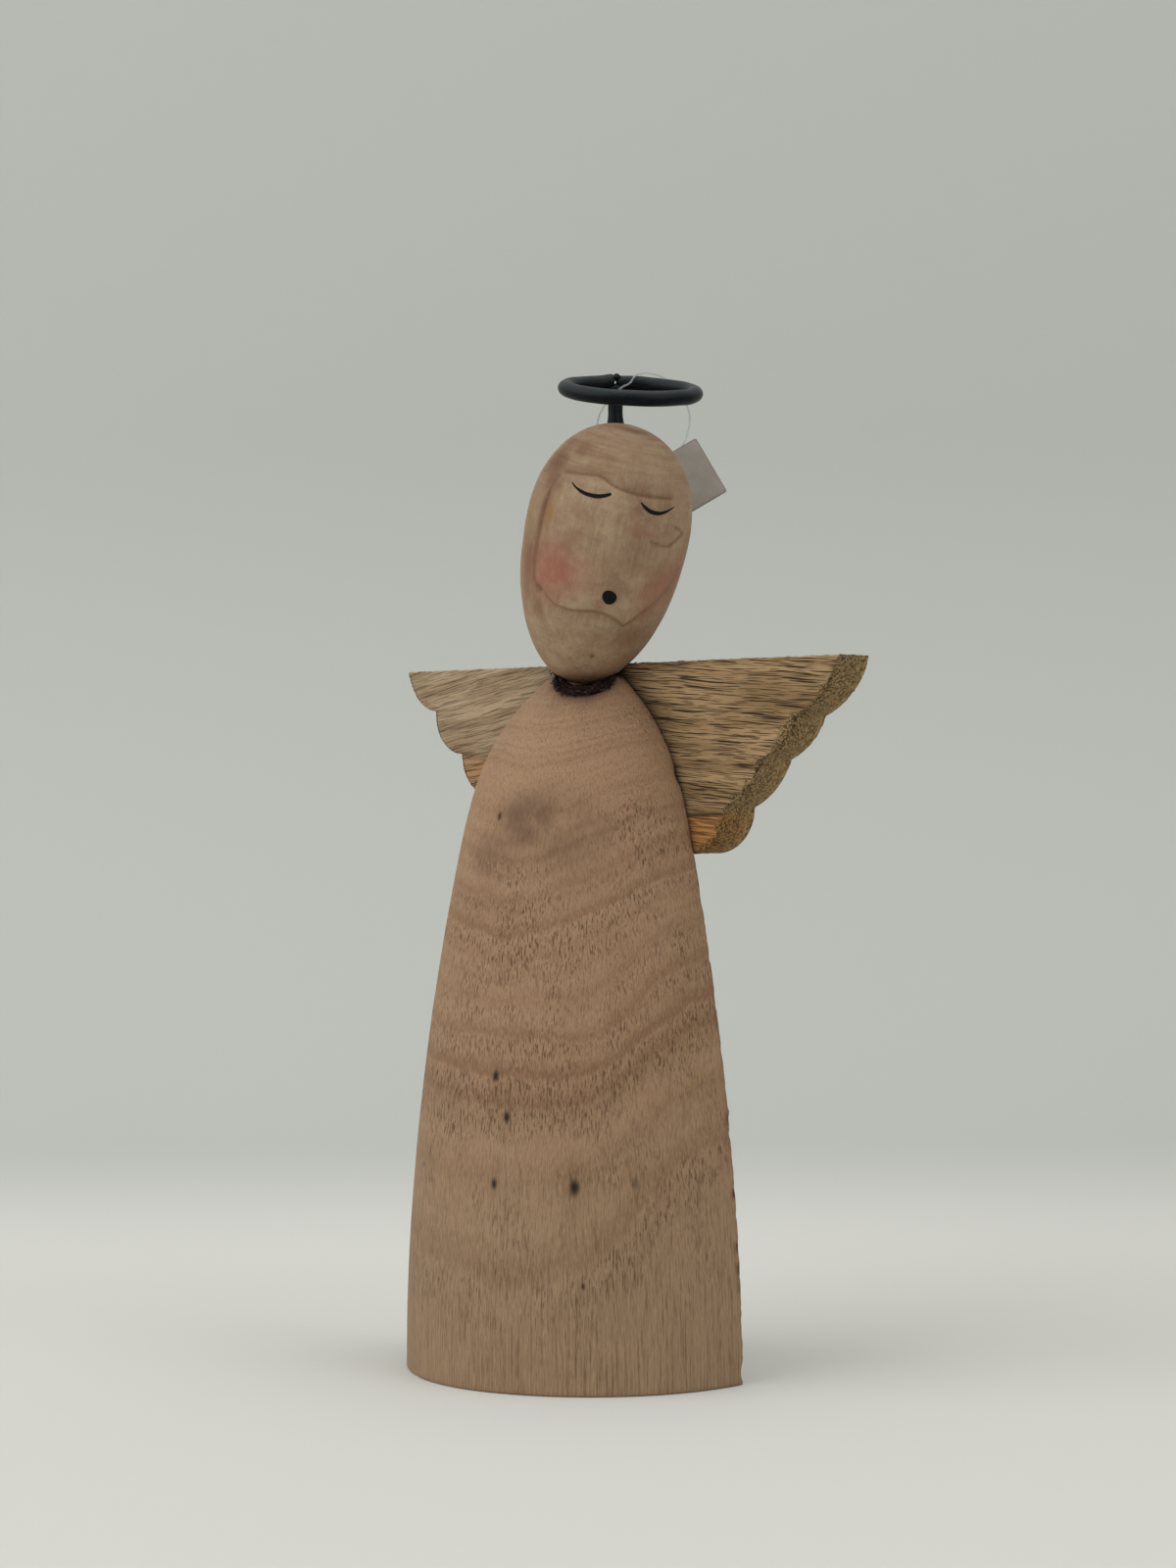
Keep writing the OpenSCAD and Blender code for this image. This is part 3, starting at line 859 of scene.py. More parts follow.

# %% [markdown]
# The carver's grooves are stained brown, the cheeks are rubbed with red, and the wood is darker at
# the hairline. The same brown also paints shadow under the raised edge of the jaw and along the
# bottom of the head, and the egg is painted darker and redder towards its outline as shade. These
# colours are also lines and spots drawn in the camera's picture, so they are kept at the mesh's
# points and read by the finish.

# %% Stains, painted shade and cheeks
hair_gap = line_gap(seen, smooth_line(hair_line, 6))
hair_depth = np.interp(seen[:, 1], [480, 515, 560, 600], [0.7, 1.0, 0.75, 0.6])
stain = hair_depth * (np.exp(-((hair_gap / 2.4) ** 2)) * 0.45 + np.exp(-((hair_gap / 8.0) ** 2)) * 0.3)
for line, strength, width in ((brow_line, 0.55, 1.6), (jaw_line, 0.36, 2.0), (cheek_chip, 0.5, 1.3)):
    stain = np.maximum(stain, strength * line_glow(seen, line, width))
# Painted shadow under the raised edge of the jaw, and a band of stain over the brow.
jaw_below, jaw_ends = below_line(seen, jaw_line)
under_jaw = np.where(jaw_below > 0, np.exp(-np.maximum(jaw_below, 0) / 9), 0)
brow_below, brow_ends = below_line(seen, brow_line)
over_brow = np.where(brow_below < 0, np.exp(np.minimum(brow_below, 0) / 9), 0)
stain = np.maximum(stain, np.maximum(0.3 * jaw_ends * under_jaw, 0.28 * brow_ends * over_brow))
# The last spot, along the bottom of the head over the gown, is partly painted shade.
# Each spot is its strength, its middle, its half width and height in pixels and its tilt in degrees
stain_and_shade_spots = [
    (0.62, (569, 472), 11, 26, 30), (0.5, (562, 492), 10, 18, 25), (0.45, (594, 460), 14, 8, -25),
    (0.6, (648, 440), 20, 3.5, 14), (0.4, (540, 565), 7, 45, 4), (0.4, (550, 622), 5, 22, -20),
    (0.3, (645, 648), 20, 10, -35), (0.6, (604, 669.5), 2.4, 2.2, 0), (0.55, (606, 693), 38, 6, -6),
]
blush_spots = [
    (0.56, (677, 598), 12, 32, 35), (0.4, (668, 606), 17, 28, 30), (0.6, (661, 545.5), 5.0, 3.2, 0),
    (0.22, (655, 540), 16, 10, 0),
]
for strength, *place in stain_and_shade_spots:
    stain = np.maximum(stain, strength * spot(seen, *place))
blush = 0.92 * spot(seen, (561, 578), 20, 27, 10) + 0.5 * spot(seen, (580, 588), 26, 22)
for strength, *place in blush_spots:
    blush = np.maximum(blush, strength * spot(seen, *place))
gold = spot(seen, (560, 522), 6, 17, 12)
# How far the egg turns away from the camera, for painted shade along its outline.
slant = np.clip(1 - (normal * toward).sum(axis=1), 0, 1)
head_paint = {
    "stain": np.clip(stain, 0, 1) * facing,
    "blush": np.clip(blush, 0, 1) * facing,
    "gold": gold * facing,
    "side": np.clip(slant * 1.3, 0, 1),
}
print("strongest stain and blush:", round(float(stain.max()), 2), round(float(blush.max()), 2))

# %% Head finish
head = Finish("carved_head_wood")
level = head.turned(-17, (0, 1, 0))
head_streak = head.grain((0.55, 0.55, 15), 3.0, 0.6, where=level)
head_fine = head.grain((0.25, 0.25, 2.2), 2.0, 0.6, where=level)
head_tone = head.grain((11, 11, 17), 3.0, where=level)
brow_rings = head.grain((16, 16, 0.9), 3.0, 0.6, where=level)
above_brow = head.ease(head.axis("Z"), 0.220, 0.228)
mottle = head.grain((1.6, 1.6, 2.4), 3.0, 0.65, where=level)
head.colour = head.ramp(head_tone, [
    (0.25, srgb(130, 100, 76)), (0.45, srgb(148, 122, 96)),
    (0.60, srgb(158, 135, 108)), (0.80, srgb(142, 114, 90)),
])
head.coat(head.ease(mottle, 0.42, 0.72) * 0.4, srgb(122, 92, 68))
head.coat(head.ease(mottle, 0.5, 0.25) * 0.3, srgb(170, 148, 122))
streak_share = 0.5 - above_brow * 0.4
head.coat(head.ease(head_streak, 0.42, 0.72) * streak_share, srgb(121, 97, 72))
head.coat(head.ease(brow_rings, 0.45, 0.72) * above_brow * 0.85, srgb(116, 88, 68))
head.coat(head.ease(head_fine, 0.45, 0.8) * 0.22, srgb(178, 160, 136))
rubbed = head.grain((7, 7, 4), 3.0, 0.55, where=level)
head.coat(head.ease(rubbed, 0.48, 0.68) * 0.42, srgb(172, 153, 122))
head.coat(head.ease(rubbed, 0.48, 0.28) * 0.34, srgb(120, 86, 58))
# Painted shade: darker and redder towards the outline of the head as the camera sees it, and the same tint
# over the top above the brow.
outline_shade_and_crown_tint = head.painted("side").at_least(above_brow * 0.9) * head.ease(head_tone + brow_rings, 0.7, 1.2)
head.coat(outline_shade_and_crown_tint * 0.55, srgb(138, 105, 76))
head.coat(head.painted("gold") * 0.9, srgb(142, 107, 54))
blush_rub = head.painted("blush") * head.ease(head_fine + head_tone, 0.45, 1.15)
head.coat(blush_rub * 0.85, srgb(146, 79, 62))
# Brown stain in the grooves and spots, with painted shadow under the jaw and the head.
stain_and_shade_rub = head.painted("stain") * head.ease(head_fine + head_streak, 0.35, 1.0)
head.coat((stain_and_shade_rub * 1.35).at_most(1.0), srgb(96, 58, 32))
head_finish = head.surface(
    Base_Color=head.colour,
    Roughness=0.55 + head_fine * 0.2,
    Specular_IOR_Level=0.35,
    Normal=head.bump(head_fine * 0.5 + head_streak * 0.5, 0.07),
)
make_piece("carved_head", head_points, head_faces, head_finish, "head", "head", head_paint)

# %% [markdown]
# The eyes and the mouth are painted in black. Colour at mesh points would blur their thin ends, so
# each is a skin of paint of its own that follows the carved surface and stands a tenth of a
# millimetre proud of it.

# %% Box of cells
def box_grid(rows, columns, layers):
    """The surface points of a box of cells, as (row, column, layer), and the quads between them."""
    shape = (rows + 1, columns + 1, layers + 1)
    where = np.indices(shape).reshape(3, -1).T
    top = np.array(shape) - 1
    skin = ((where == 0) | (where == top)).any(axis=1)
    number = np.full(len(where), -1)
    number[skin] = np.arange(skin.sum())
    number = number.reshape(shape)
    quads = []
    for axis in range(3):
        for end in (0, -1):
            sheet = np.take(number, end, axis=axis)
            ring = [sheet[:-1, :-1], sheet[1:, :-1], sheet[1:, 1:], sheet[:-1, 1:]]
            if (end == 0) != (axis == 1):
                ring = ring[::-1]
            quads.append(np.stack(ring, axis=-1).reshape(-1, 4))
    return where[skin], np.concatenate(quads)


print("a box of one cell has", len(box_grid(1, 1, 1)[0]), "points")

# %% Eye and mouth paint
ink = Finish("black_face_paint")
ink_wear = ink.grain((0.6, 0.6, 0.6), 2.0)
ink_finish = ink.surface(
    Base_Color=ink.blend(ink.ease(ink_wear, 0.45, 0.8), srgb(8, 7, 7), srgb(24, 19, 17)),
    Roughness=0.5 + ink_wear * 0.25,
    Specular_IOR_Level=0.15,
    Normal=ink.bump(ink_wear, 0.03),
)
PAINT_PROUD = 0.1
PAINT_UNDER = 0.2


def paint_skin(name, pixels, where, faces):
    """A thin closed skin on the carved head. where is 0 on its outer face and 1 on its hidden one."""
    on_egg = first_hit(pixels, outside_head)
    lift = carving(pixels) + PAINT_PROUD - where * (PAINT_PROUD + PAINT_UNDER)
    points = on_egg + egg_normal(on_egg) * lift[:, None]
    return make_piece(name, points, faces, ink_finish, "head", None)


def eye_paint(name, line, widths):
    """A line of paint with a width in pixels at each of its points."""
    middle = smooth_line(line, 10)
    width = np.interp(np.linspace(0, 1, len(middle)), np.linspace(0, 1, len(widths)), widths)
    along = np.gradient(middle, axis=0)
    along /= np.linalg.norm(along, axis=1, keepdims=True)
    across = np.stack([-along[:, 1], along[:, 0]], axis=1)
    where, faces = box_grid(len(middle) - 1, 6, 1)
    side = where[:, 1] / 6 - 0.5
    pixels = middle[where[:, 0]] + across[where[:, 0]] * (side * width[where[:, 0]])[:, None]
    hidden = np.maximum(where[:, 2], np.abs(side) * 0.5)
    return paint_skin(name, pixels, hidden, faces)


eye_paint("left_eye_line", left_eye, [0.7, 2.6, 3.9, 4.3, 4.0, 2.6])
eye_paint("right_eye_line", right_eye, [0.9, 3.4, 4.3, 3.7, 2.6, 0.7])
mouth_where, mouth_faces = box_grid(16, 16, 1)
mouth_u, mouth_v = mouth_where[:, 0] / 8 - 1, mouth_where[:, 1] / 8 - 1
mouth_across = mouth_u * np.sqrt(1 - mouth_v**2 / 2)
mouth_down = mouth_v * np.sqrt(1 - mouth_u**2 / 2)
mouth_disc = np.stack([mouth_across, mouth_down], axis=1)
mouth_bearing = np.arctan2(mouth_disc[:, 1], mouth_disc[:, 0])
mouth_wobble = 1 + 0.04 * np.sin(2 * mouth_bearing + 0.6) + 0.035 * np.sin(3 * mouth_bearing + 2.0)
mouth_pixels = np.asarray(mouth_middle) + mouth_disc * (MOUTH_PX * mouth_wobble)[:, None]
mouth_rim = np.linalg.norm(mouth_disc, axis=1)
paint_skin("mouth_dot", mouth_pixels, np.maximum(mouth_where[:, 2], 0.3 * mouth_rim**6), mouth_faces)

# %% [markdown]
# ## Wings
# The wings are two boards of rough-sawn wood with four scallops each. Their faces show long dark
# pores and their scalloped ends show speckled end grain. A box of cells is laid into each outline:
# its rows follow the scallops, so the frayed edge can be moved point by point. The cells on the
# end grain are marked, so that one finish can show both cuts of the wood.

# %% Wing outlines
WING_TOP = 178.2
WING_T = 12.0
WING_INNER = 9.0
WING_GAP = 0.03
# Each lobe is its distance from the middle, its drop from the top edge and how far it bulges
right_lobes = [(80.6, 0, 0.56), (67, 14.4, 0.5), (56, 24.9, 0.5), (44, 36.7, 1), (31.5, 48.2, 0)]
left_lobes = [(67, 0, 0.85), (57, 10.8, 1.05), (47.2, 22.2, 1), (38, 33, 1), (27, 45, 0)]
WING_ROWS = 168
WING_COLUMNS = 116
WING_LAYERS = 16
# Each layer of chips is its weight, its sharpness and the size of its cells
CHIP_LAYERS = [(1.0, 1.7, (2.4, 1, 2.4)), (0.45, 1.5, (1, 1, 1)), (1.0, 1.4, (5, 1, 4))]


def scallops(lobes):
    """The scalloped end as (distance from the middle, drop), with even steps along it."""
    line = []
    for (x0, d0, bulge), (x1, d1, _) in zip(lobes[:-1], lobes[1:]):
        u = np.linspace(0, 1, 40, endpoint=False)
        chord = np.stack([x0 + (x1 - x0) * u, d0 + (d1 - d0) * u], axis=1)
        bow_x = x1 + (x0 - x1) * np.cos(u * math.pi / 2)
        bow_drop = d0 + (d1 - d0) * np.sin(u * math.pi / 2)
        quarter = np.stack([bow_x, bow_drop], axis=1)
        line.append(chord * (1 - bulge) + quarter * bulge)
    line = np.concatenate(line + [np.array([lobes[-1][:2]], float)])
    line[:, 1] = np.maximum.accumulate(line[:, 1])
    run = np.concatenate([[0], np.cumsum(np.linalg.norm(np.diff(line, axis=0), axis=1))])
    even_run = np.linspace(0, run[-1], WING_ROWS + 1)
    return np.stack([np.interp(even_run, run, line[:, i]) for i in range(2)], axis=1)


for lobes, name in ((right_lobes, "right"), (left_lobes, "left")):
    print(name, "wing end runs from", lobes[0][:2], "to", lobes[-1][:2])


# %% Wing boards
def wing_points(lobes, side, seed, wear):
    """Points and faces of one board with frayed edges, and its marks for end grain and for the painted shade
    beside the gown.
    """
    where, faces = box_grid(WING_ROWS, WING_COLUMNS, WING_LAYERS)
    end = scallops(lobes)
    reach, drop = end[where[:, 0]].T
    across = where[:, 1] / WING_COLUMNS
    deep = where[:, 2] / WING_LAYERS
    x = WING_INNER + (reach - WING_INNER) * across
    y = BACK_Y + WING_GAP + (WING_T - WING_GAP) * deep
    points = np.stack([side * x, y, WING_TOP - drop], axis=1)
    run = np.gradient(end, axis=0)
    out = np.stack([run[:, 1], -run[:, 0]], axis=1)
    out /= np.linalg.norm(out, axis=1, keepdims=True)
    out = np.stack([side * out[where[:, 0], 0], np.zeros(len(x)), -out[where[:, 0], 1]], axis=1)
    on_end = where[:, 1] == WING_COLUMNS
    on_face = (where[:, 2] == 0) | (where[:, 2] == WING_LAYERS)
    rough = grain_noise(points, (0.75, 0.75, 0.75), seed) * 0.2
    rough += grain_noise(points, (2.2, 2.2, 1.6), seed + 1) * 0.16
    rough *= 0.4 + 0.6 * wear
    points = points + out * (np.where(on_end, rough - 0.1, 0))[:, None]
    front = where[:, 2] == 0
    chip = np.zeros(len(points))
    for layer, (weight, sharp, size) in enumerate(CHIP_LAYERS):
        chips = grain_noise(points * (1, 0, 1), size, seed + 5 + layer) * sharp
        chip += weight * np.clip(chips, 0, 1)
    chip *= wear
    points[:, 1] += np.where(front & ~on_end, 1.1 * chip * np.exp(-(((reach - x) / 1.1) ** 2)), 0)
    from_front = WING_T * deep
    points = points - out * np.where(on_end, 1.7 * chip * np.exp(-((from_front / 2.2) ** 2)), 0)[:, None]
    ragged = 0.12 + (0.1 + 0.25 * wear) * np.abs(grain_noise(points, (0.9, 0.9, 0.9), seed + 2))
    inward = np.where(front, 1.0, np.where(where[:, 2] == WING_LAYERS, -1.0, 0.0))
    points[:, 1] += np.where(on_end & on_face, inward * ragged * 0.8, 0)
    points = points - out * np.where(on_end & on_face, ragged * 0.7, 0)[:, None]
    on_top = where[:, 0] == 0
    on_bottom = where[:, 0] == WING_ROWS
    splinter = np.maximum(0, grain_noise(points * (1, 1, 0), (0.7, 0.9, 1), seed + 3)) * 0.25
    points[:, 2] += np.where(on_top, splinter - 0.12, 0) + np.where(on_bottom, 0.25 - splinter, 0)
    points[:, 1] += np.where((on_top | on_bottom) & on_face, inward * 0.3, 0)
    face_wave = grain_noise(points, (9, 50, 2.2), seed + 4) * 0.1
    points[:, 1] += np.where(front & ~on_end & ~on_top & ~on_bottom, face_wave + 0.1, 0)
    inside = -np.minimum(outside_head(points, SEAT_GAP + 0.1), 0)
    points[:, 0] += side * inside * 1.3
    near_end = np.clip(1.3 - (reach - x) / (0.7 + 1.9 * chip), 0, 1)
    # Painted shade on the board's front where it meets the gown's edge, wider and darker towards the neck.
    gown_edge_shade_width = np.interp(points[:, 2], [145, 160, 172], [0.9, 2.0, 5.0])
    soot = np.exp(-np.maximum(np.abs(points[:, 0]) - gown_radius(points[:, 2]), 0) / gown_edge_shade_width)
    soot *= np.interp(points[:, 2], [140, 160, 172], [0.6, 0.75, 1.0])
    soot *= np.exp(-np.maximum(from_front - 0.6, 0))
    return points, faces, {"end_grain": np.where(on_end, 1.0, near_end), "soot": soot}


print("each board has", WING_ROWS, "by", WING_COLUMNS, "by", WING_LAYERS, "cells")

# %% [markdown]
# Both boards share one recipe for the finish, with the slope of the grain and the height of the
# lighter bottom piece as its values. The pores are noise stretched along the board and cut off at a
# level. The end grain is a fine speckle of two noises, with slower bands that darken it.

# %% Wing finish
def wing_finish(name, slope, split_z, warm):
    """warm moves the board's colour from grey brown at 0 to tan at 1."""
    board = Finish(name)
    level = board.turned(slope, (0, 1, 0))
    wander = board.grain((30, 30, 6), 2.0, where=level)
    lift = board.node("ShaderNodeCombineXYZ", {}, {2: (wander - 0.5) * 0.0024})
    flow = board.node("ShaderNodeVectorMath", {"operation": "ADD"}, {0: level, 1: lift})
    wide = board.grain((34, 20, 3.4), 3.0, where=flow)
    long_pore = board.grain((11, 6, 0.3), 1.0, 0.4, where=flow)
    fine_pore = board.grain((6, 3, 0.24), 1.0, 0.5, where=flow)
    pore_height = board.axis("Z") + (wide - 0.5) * 0.02
    pore_share = board.ease(pore_height, 0.178 - 0.016 * warm, 0.168 - 0.022 * warm)
    pore = board.ease(long_pore, 0.585, 0.66) * (1 - warm * 0.6 + pore_share * warm * 0.6)
    line = board.ease(fine_pore, 0.57, 0.68) * (1 - warm * 0.4)
    hair = board.grain((14, 6, 0.22), 1.0, where=flow)
    speck = board.grain((0.55, 0.55, 0.55), 2.0, 0.6)
    grit = board.grain((0.28, 0.28, 0.28), 1.0)
    pale = board.blend(warm, srgb(166, 138, 101), srgb(173, 152, 124))
    deep = board.blend(warm, srgb(130, 104, 71), srgb(140, 118, 91))
    board.colour = board.blend(board.ease(wide, 0.34, 0.66), deep, pale)
    board.coat(board.ease(hair, 0.4, 0.7) * 0.3, srgb(174, 146, 110))
    board.coat(line * 0.7, srgb(90, 66, 43))
    board.coat(pore * 0.95, srgb(48, 32, 20))
    height_line = board.axis("Z") + (wander - 0.5) * 0.003
    bottom = board.ease(height_line, split_z + 0.0008, split_z - 0.0008) * (1 - warm * 0.55)
    honey = board.blend(board.ease(wide + fine_pore, 0.75, 1.25), srgb(184, 133, 79), srgb(140, 99, 57))
    board.coat(bottom * (1 - pore * 0.5), honey)
    # A thin dark line along the height where the grey wood meets the honey piece.
    split_line = board.ease(height_line, split_z - 0.0010, split_z)
    split_line = split_line * board.ease(height_line, split_z + 0.0016, split_z)
    board.coat(split_line * (0.75 - warm * 0.5), srgb(44, 29, 18))
    end = board.ease(board.painted("end_grain") + (speck - 0.5) * 0.9, 0.38, 0.56)
    end_colour = board.blend(board.ease(speck, 0.40, 0.60), srgb(74, 55, 32), srgb(152, 127, 88))
    honey_end = board.blend(board.ease(speck, 0.40, 0.60), srgb(74, 47, 18), srgb(150, 108, 52))
    end_colour = board.blend(bottom * 0.75, end_colour, honey_end)
    end_colour = board.blend(board.ease(grit, 0.52, 0.75) * 0.5, end_colour, srgb(176, 150, 108))
    end_bands = board.grain((6, 1.3, 1.8), 3.0, 0.6, where=flow)
    near_back = board.ease(board.axis("Y"), 0.0255, 0.0315) * board.ease(end_bands, 0.6, 0.35)
    end_colour = board.blend(board.ease(end_bands, 0.5, 0.75) * 0.45, end_colour, srgb(70, 51, 30))
    end_colour = board.blend(near_back * 0.55, end_colour, srgb(178, 150, 106))
    board.coat(end, end_colour)
    # Painted shade beside the edge of the gown.
    board.coat(board.painted("soot") * 0.92, srgb(22, 14, 9))
    face_height = hair * 0.4 - pore * 0.9 - line * 0.5
    height = face_height * (1 - end) + (speck * 1.2 + grit * 0.5) * end
    return board.surface(
        Base_Color=board.colour,
        Roughness=0.78 + hair * 0.15,
        Specular_IOR_Level=0.2,
        Normal=board.bump(height, 0.35),
    )


right_finish = wing_finish("rough_board_right", -4.0, 0.1395, 0.0)
left_finish = wing_finish("rough_board_left", 10.0, 0.1552, 1.0)
wings = (("right_wing_board", right_lobes, 1, right_finish, 21, 1.0),
         ("left_wing_board", left_lobes, -1, left_finish, 31, 0.1))
for name, lobes, side, finish, seed, wear in wings:
    points, faces, wing_paint = wing_points(lobes, side, seed, wear)
    node = name.replace("_board", "")
    make_piece(name, points, faces, finish, "gown", node, wing_paint)

# %% [markdown]
# ## Halo
# The halo is one wire bent to a ring, with its two ends brought together over a straight stem and
# welded there. A torus would close the ring and lose the joint. Here the ring is swept from one end
# to the other, its ends are rounded, one end stands a little higher, and a bead of weld fills the
# gap. The upper side of the wire carries a painted highlight, paler as if lit from above, so the
# ring's points keep how far they face up.

# %% Halo finish
halo = Finish("satin_black_wire")
halo_wear = halo.grain((3, 3, 1.2), 3.0, 0.6)
halo_grit = halo.grain((0.5, 0.5, 0.5), 2.0)
halo.colour = halo.blend(halo.ease(halo_wear, 0.45, 0.75), srgb(3, 7, 10), srgb(10, 16, 21))
# Painted highlight: the upper side of the wire is paler, as if lit from above.
halo.coat(halo.ease(halo.painted("upper"), -0.3, 0.8) * 0.8, srgb(48, 54, 57))
halo.coat(halo.ease(halo_grit, 0.68, 0.8) * 0.5, srgb(44, 50, 53))
halo_finish = halo.surface(
    Base_Color=halo.colour,
    Roughness=0.26 + halo_wear * 0.24,
    Specular_IOR_Level=0.1,
    Normal=halo.bump(halo_wear + halo_grit * 0.35, 0.05),
)
print("finish:", halo_finish.name)

# %% Halo ring
RING_STEPS = 200
RING_SIDES = 24
SPLIT_DEG = 1.5
along_ring = np.linspace(-180 + SPLIT_DEG / 2, 180 - SPLIT_DEG / 2, RING_STEPS)
end_gap = np.radians(180 - SPLIT_DEG / 2 - np.abs(along_ring)) * RING_R
end_round = np.sqrt(np.clip(1 - (1 - np.clip(end_gap / 0.9, 0, 1)) ** 2, 0.04, 1))
end_lift = np.where(along_ring < 0, 0.55, -0.1) * np.exp(-((end_gap / 2.6) ** 2))
wobble_line = np.outer(along_ring, (1, 0, 0))
wire_wobble = grain_noise(wobble_line, (16, 16, 16), 41) * 0.1
around_wire = np.linspace(0, 360, RING_SIDES, endpoint=False)
turn_grid, around_grid = np.meshgrid(along_ring, around_wire, indexing="ij")
ring_surface = on_ring(turn_grid, around_grid, (WIRE_D / 2 - 0.02) * end_round[:, None])
ring_up = halo_turn[:, 2]
ring_surface = ring_surface + (end_lift + wire_wobble)[:, None, None] * ring_up
ring_ends = [on_ring(along_ring[i], 0.0, 0.0) + (end_lift + wire_wobble)[i] * ring_up for i in (0, -1)]
ring_points = np.concatenate([ring_surface.reshape(-1, 3), ring_ends])
ring_faces = closed_tube(RING_STEPS, RING_SIDES)
wire_way = on_ring(turn_grid, around_grid, 1.0) - on_ring(turn_grid, around_grid, 0.0)
# How far the wire faces up, for the painted highlight.
ring_paint = {"upper": np.append(wire_way[..., 2], (0.0, 0.0))}
make_piece(
    "halo_wire_ring", ring_points, ring_faces, halo_finish, "head", "halo_ring", ring_paint
)

# %% Halo stem and weld
STEM_R = 1.85
HALO_RISE = 10.1
stem_profile = [(0, -20), (1.2, -20), (1.7, -19.5), (STEM_R, -18.5)]
stem_profile += [(STEM_R, z) for z in np.linspace(-17, -HALO_RISE - 1.2, 8)]
flare_heights = np.linspace(-HALO_RISE - 0.9, -HALO_RISE + 3, 14)
stem_profile += [(STEM_R + 0.25 * math.exp(-(((z + HALO_RISE) / 1.3) ** 2)), z) for z in flare_heights]
stem_profile += [(STEM_R, z) for z in np.linspace(-6.6, -3.2, 8)]
stem_profile += [(STEM_R + 0.35 * s, -3.2 + 1.9 * s) for s in (0.25, 0.5, 0.75, 1.0)]
stem_profile += [(1.9, -0.9), (1.3, -0.4), (0.7, -0.2), (0, -0.15)]
stem_points, stem_faces = lathe(stem_profile, 32)
stem_points[:, :2] *= (1 + 0.02 * grain_noise(stem_points, (2, 2, 1.5), 43))[:, None]
stem_points = halo_joint + stem_points
make_piece("halo_wire_stem", stem_points, stem_faces, halo_finish, "head", "halo_stem")
WELD_R = 1.3
weld_turns = np.linspace(0.2, math.pi - 0.2, 14)
weld_profile = [(WELD_R * math.sin(a), -WELD_R * math.cos(a)) for a in weld_turns]
weld_points, weld_faces = lathe([(0, -WELD_R)] + weld_profile + [(0, WELD_R)], 24)
weld_lumps = 1 + 0.16 * grain_noise(weld_points, (0.7, 0.7, 0.7), 44)
weld_points = weld_points * (1.0, 0.9, 0.75) * weld_lumps[:, None]
weld_place = halo_joint + 1.35 * ring_up + 0.35 * halo_turn[:, 1]
make_piece("halo_weld_bead", weld_place + weld_points, weld_faces, halo_finish, "head", None)

# %% [markdown]
# ## Card
# The card is a blank tag of grey board with a punched hole. A flat box would have knife edges and
# no hole, so the face is a net between the rounded outline and the hole, made twice and joined at
# both rims. The board is bowed by a few tenths of a millimetre, as thin card is.

# %% Card outline
CARD_L, CARD_W, CARD_T = 23.5, 16.0, 0.8
HOLE_D, HOLE_IN, HOLE_OFF = 2.5, 3.0, 2.9
CARD_STEPS = 160
CARD_RINGS = 18
CARD_CORNER = 0.35
card_hole = halo_joint + (-6.1, 28.4, -18.4)
CARD_FACING, CARD_TILT = math.radians(42.6), math.radians(-30)
CARD_BOW = 0.0006
card_turn = np.array(Matrix.Rotation(CARD_FACING, 3, "Z") @ Matrix.Rotation(CARD_TILT, 3, "Y"))
low = np.array([-HOLE_OFF - CARD_L / 2, HOLE_IN - CARD_W])
high = low + (CARD_L, CARD_W)
bearing = np.linspace(0, 2 * math.pi, 4000, endpoint=False)
ray = np.stack([np.cos(bearing), np.sin(bearing)], axis=1)
with np.errstate(divide="ignore"):
    wall = np.where(ray > 0, high / ray, np.where(ray < 0, low / ray, np.inf)).min(axis=1)
rim = ray * wall[:, None]
for x_end in (low[0], high[0]):
    for z_end in (low[1], high[1]):
        way = np.sign([x_end, z_end])
        turn_point = np.array([x_end, z_end]) - way * CARD_CORNER
        away = (rim - turn_point) * way
        at_corner = (away > 0).all(axis=1)[:, None]
        length = np.maximum(np.linalg.norm(away, axis=1, keepdims=True), 1e-6)
        rim = np.where(at_corner, turn_point + away * way * CARD_CORNER / length, rim)
run = np.concatenate([[0], np.cumsum(np.linalg.norm(np.diff(rim, axis=0), axis=1))])
pick = np.searchsorted(run, np.linspace(0, run[-1], CARD_STEPS, endpoint=False))
rim = rim[pick]
hole = np.stack([np.cos(bearing[pick]), np.sin(bearing[pick])], axis=1) * HOLE_D / 2
print("card outline:", len(rim), "points, length", round(float(run[-1]), 1), "mm")

# %% Card mesh
sheet = [hole + (rim - hole) * s for s in np.linspace(0, 1, CARD_RINGS + 1) ** 0.85]
half = CARD_T / 2
edge_soft = 0.12
loops = [np.insert(ring, 1, -half, axis=1) for ring in sheet]
loops[-1] = np.insert(rim * (1 - edge_soft / 14), 1, -half, axis=1)
loops += [np.insert(rim, 1, -half + edge_soft, axis=1), np.insert(rim, 1, half - edge_soft, axis=1)]
back_side = [np.insert(ring, 1, half, axis=1) for ring in sheet[::-1]]
back_side[0] = np.insert(rim * (1 - edge_soft / 14), 1, half, axis=1)
loops += back_side + [np.insert(hole, 1, 0.0, axis=1)]
card_points = np.concatenate(loops)
card_points[:, 1] += CARD_BOW * (card_points[:, 0] ** 2 - 60)
card_faces = wrapped_grid(len(loops), CARD_STEPS).tolist()
first_loop, last_loop = np.arange(CARD_STEPS), np.arange(CARD_STEPS) + (len(loops) - 1) * CARD_STEPS
closing = [last_loop, np.roll(last_loop, -1), np.roll(first_loop, -1), first_loop]
card_faces += np.stack(closing, axis=1).tolist()
flat_card = card_points[:, [0, 2]]
rim_gap = np.minimum(flat_card - low, high - flat_card).min(axis=1)
# The band along the card's edges carries painted shade.
card_paint = {"rim": np.clip(1 - rim_gap / 0.35, 0, 1)}
print("card mesh:", len(loops), "loops")

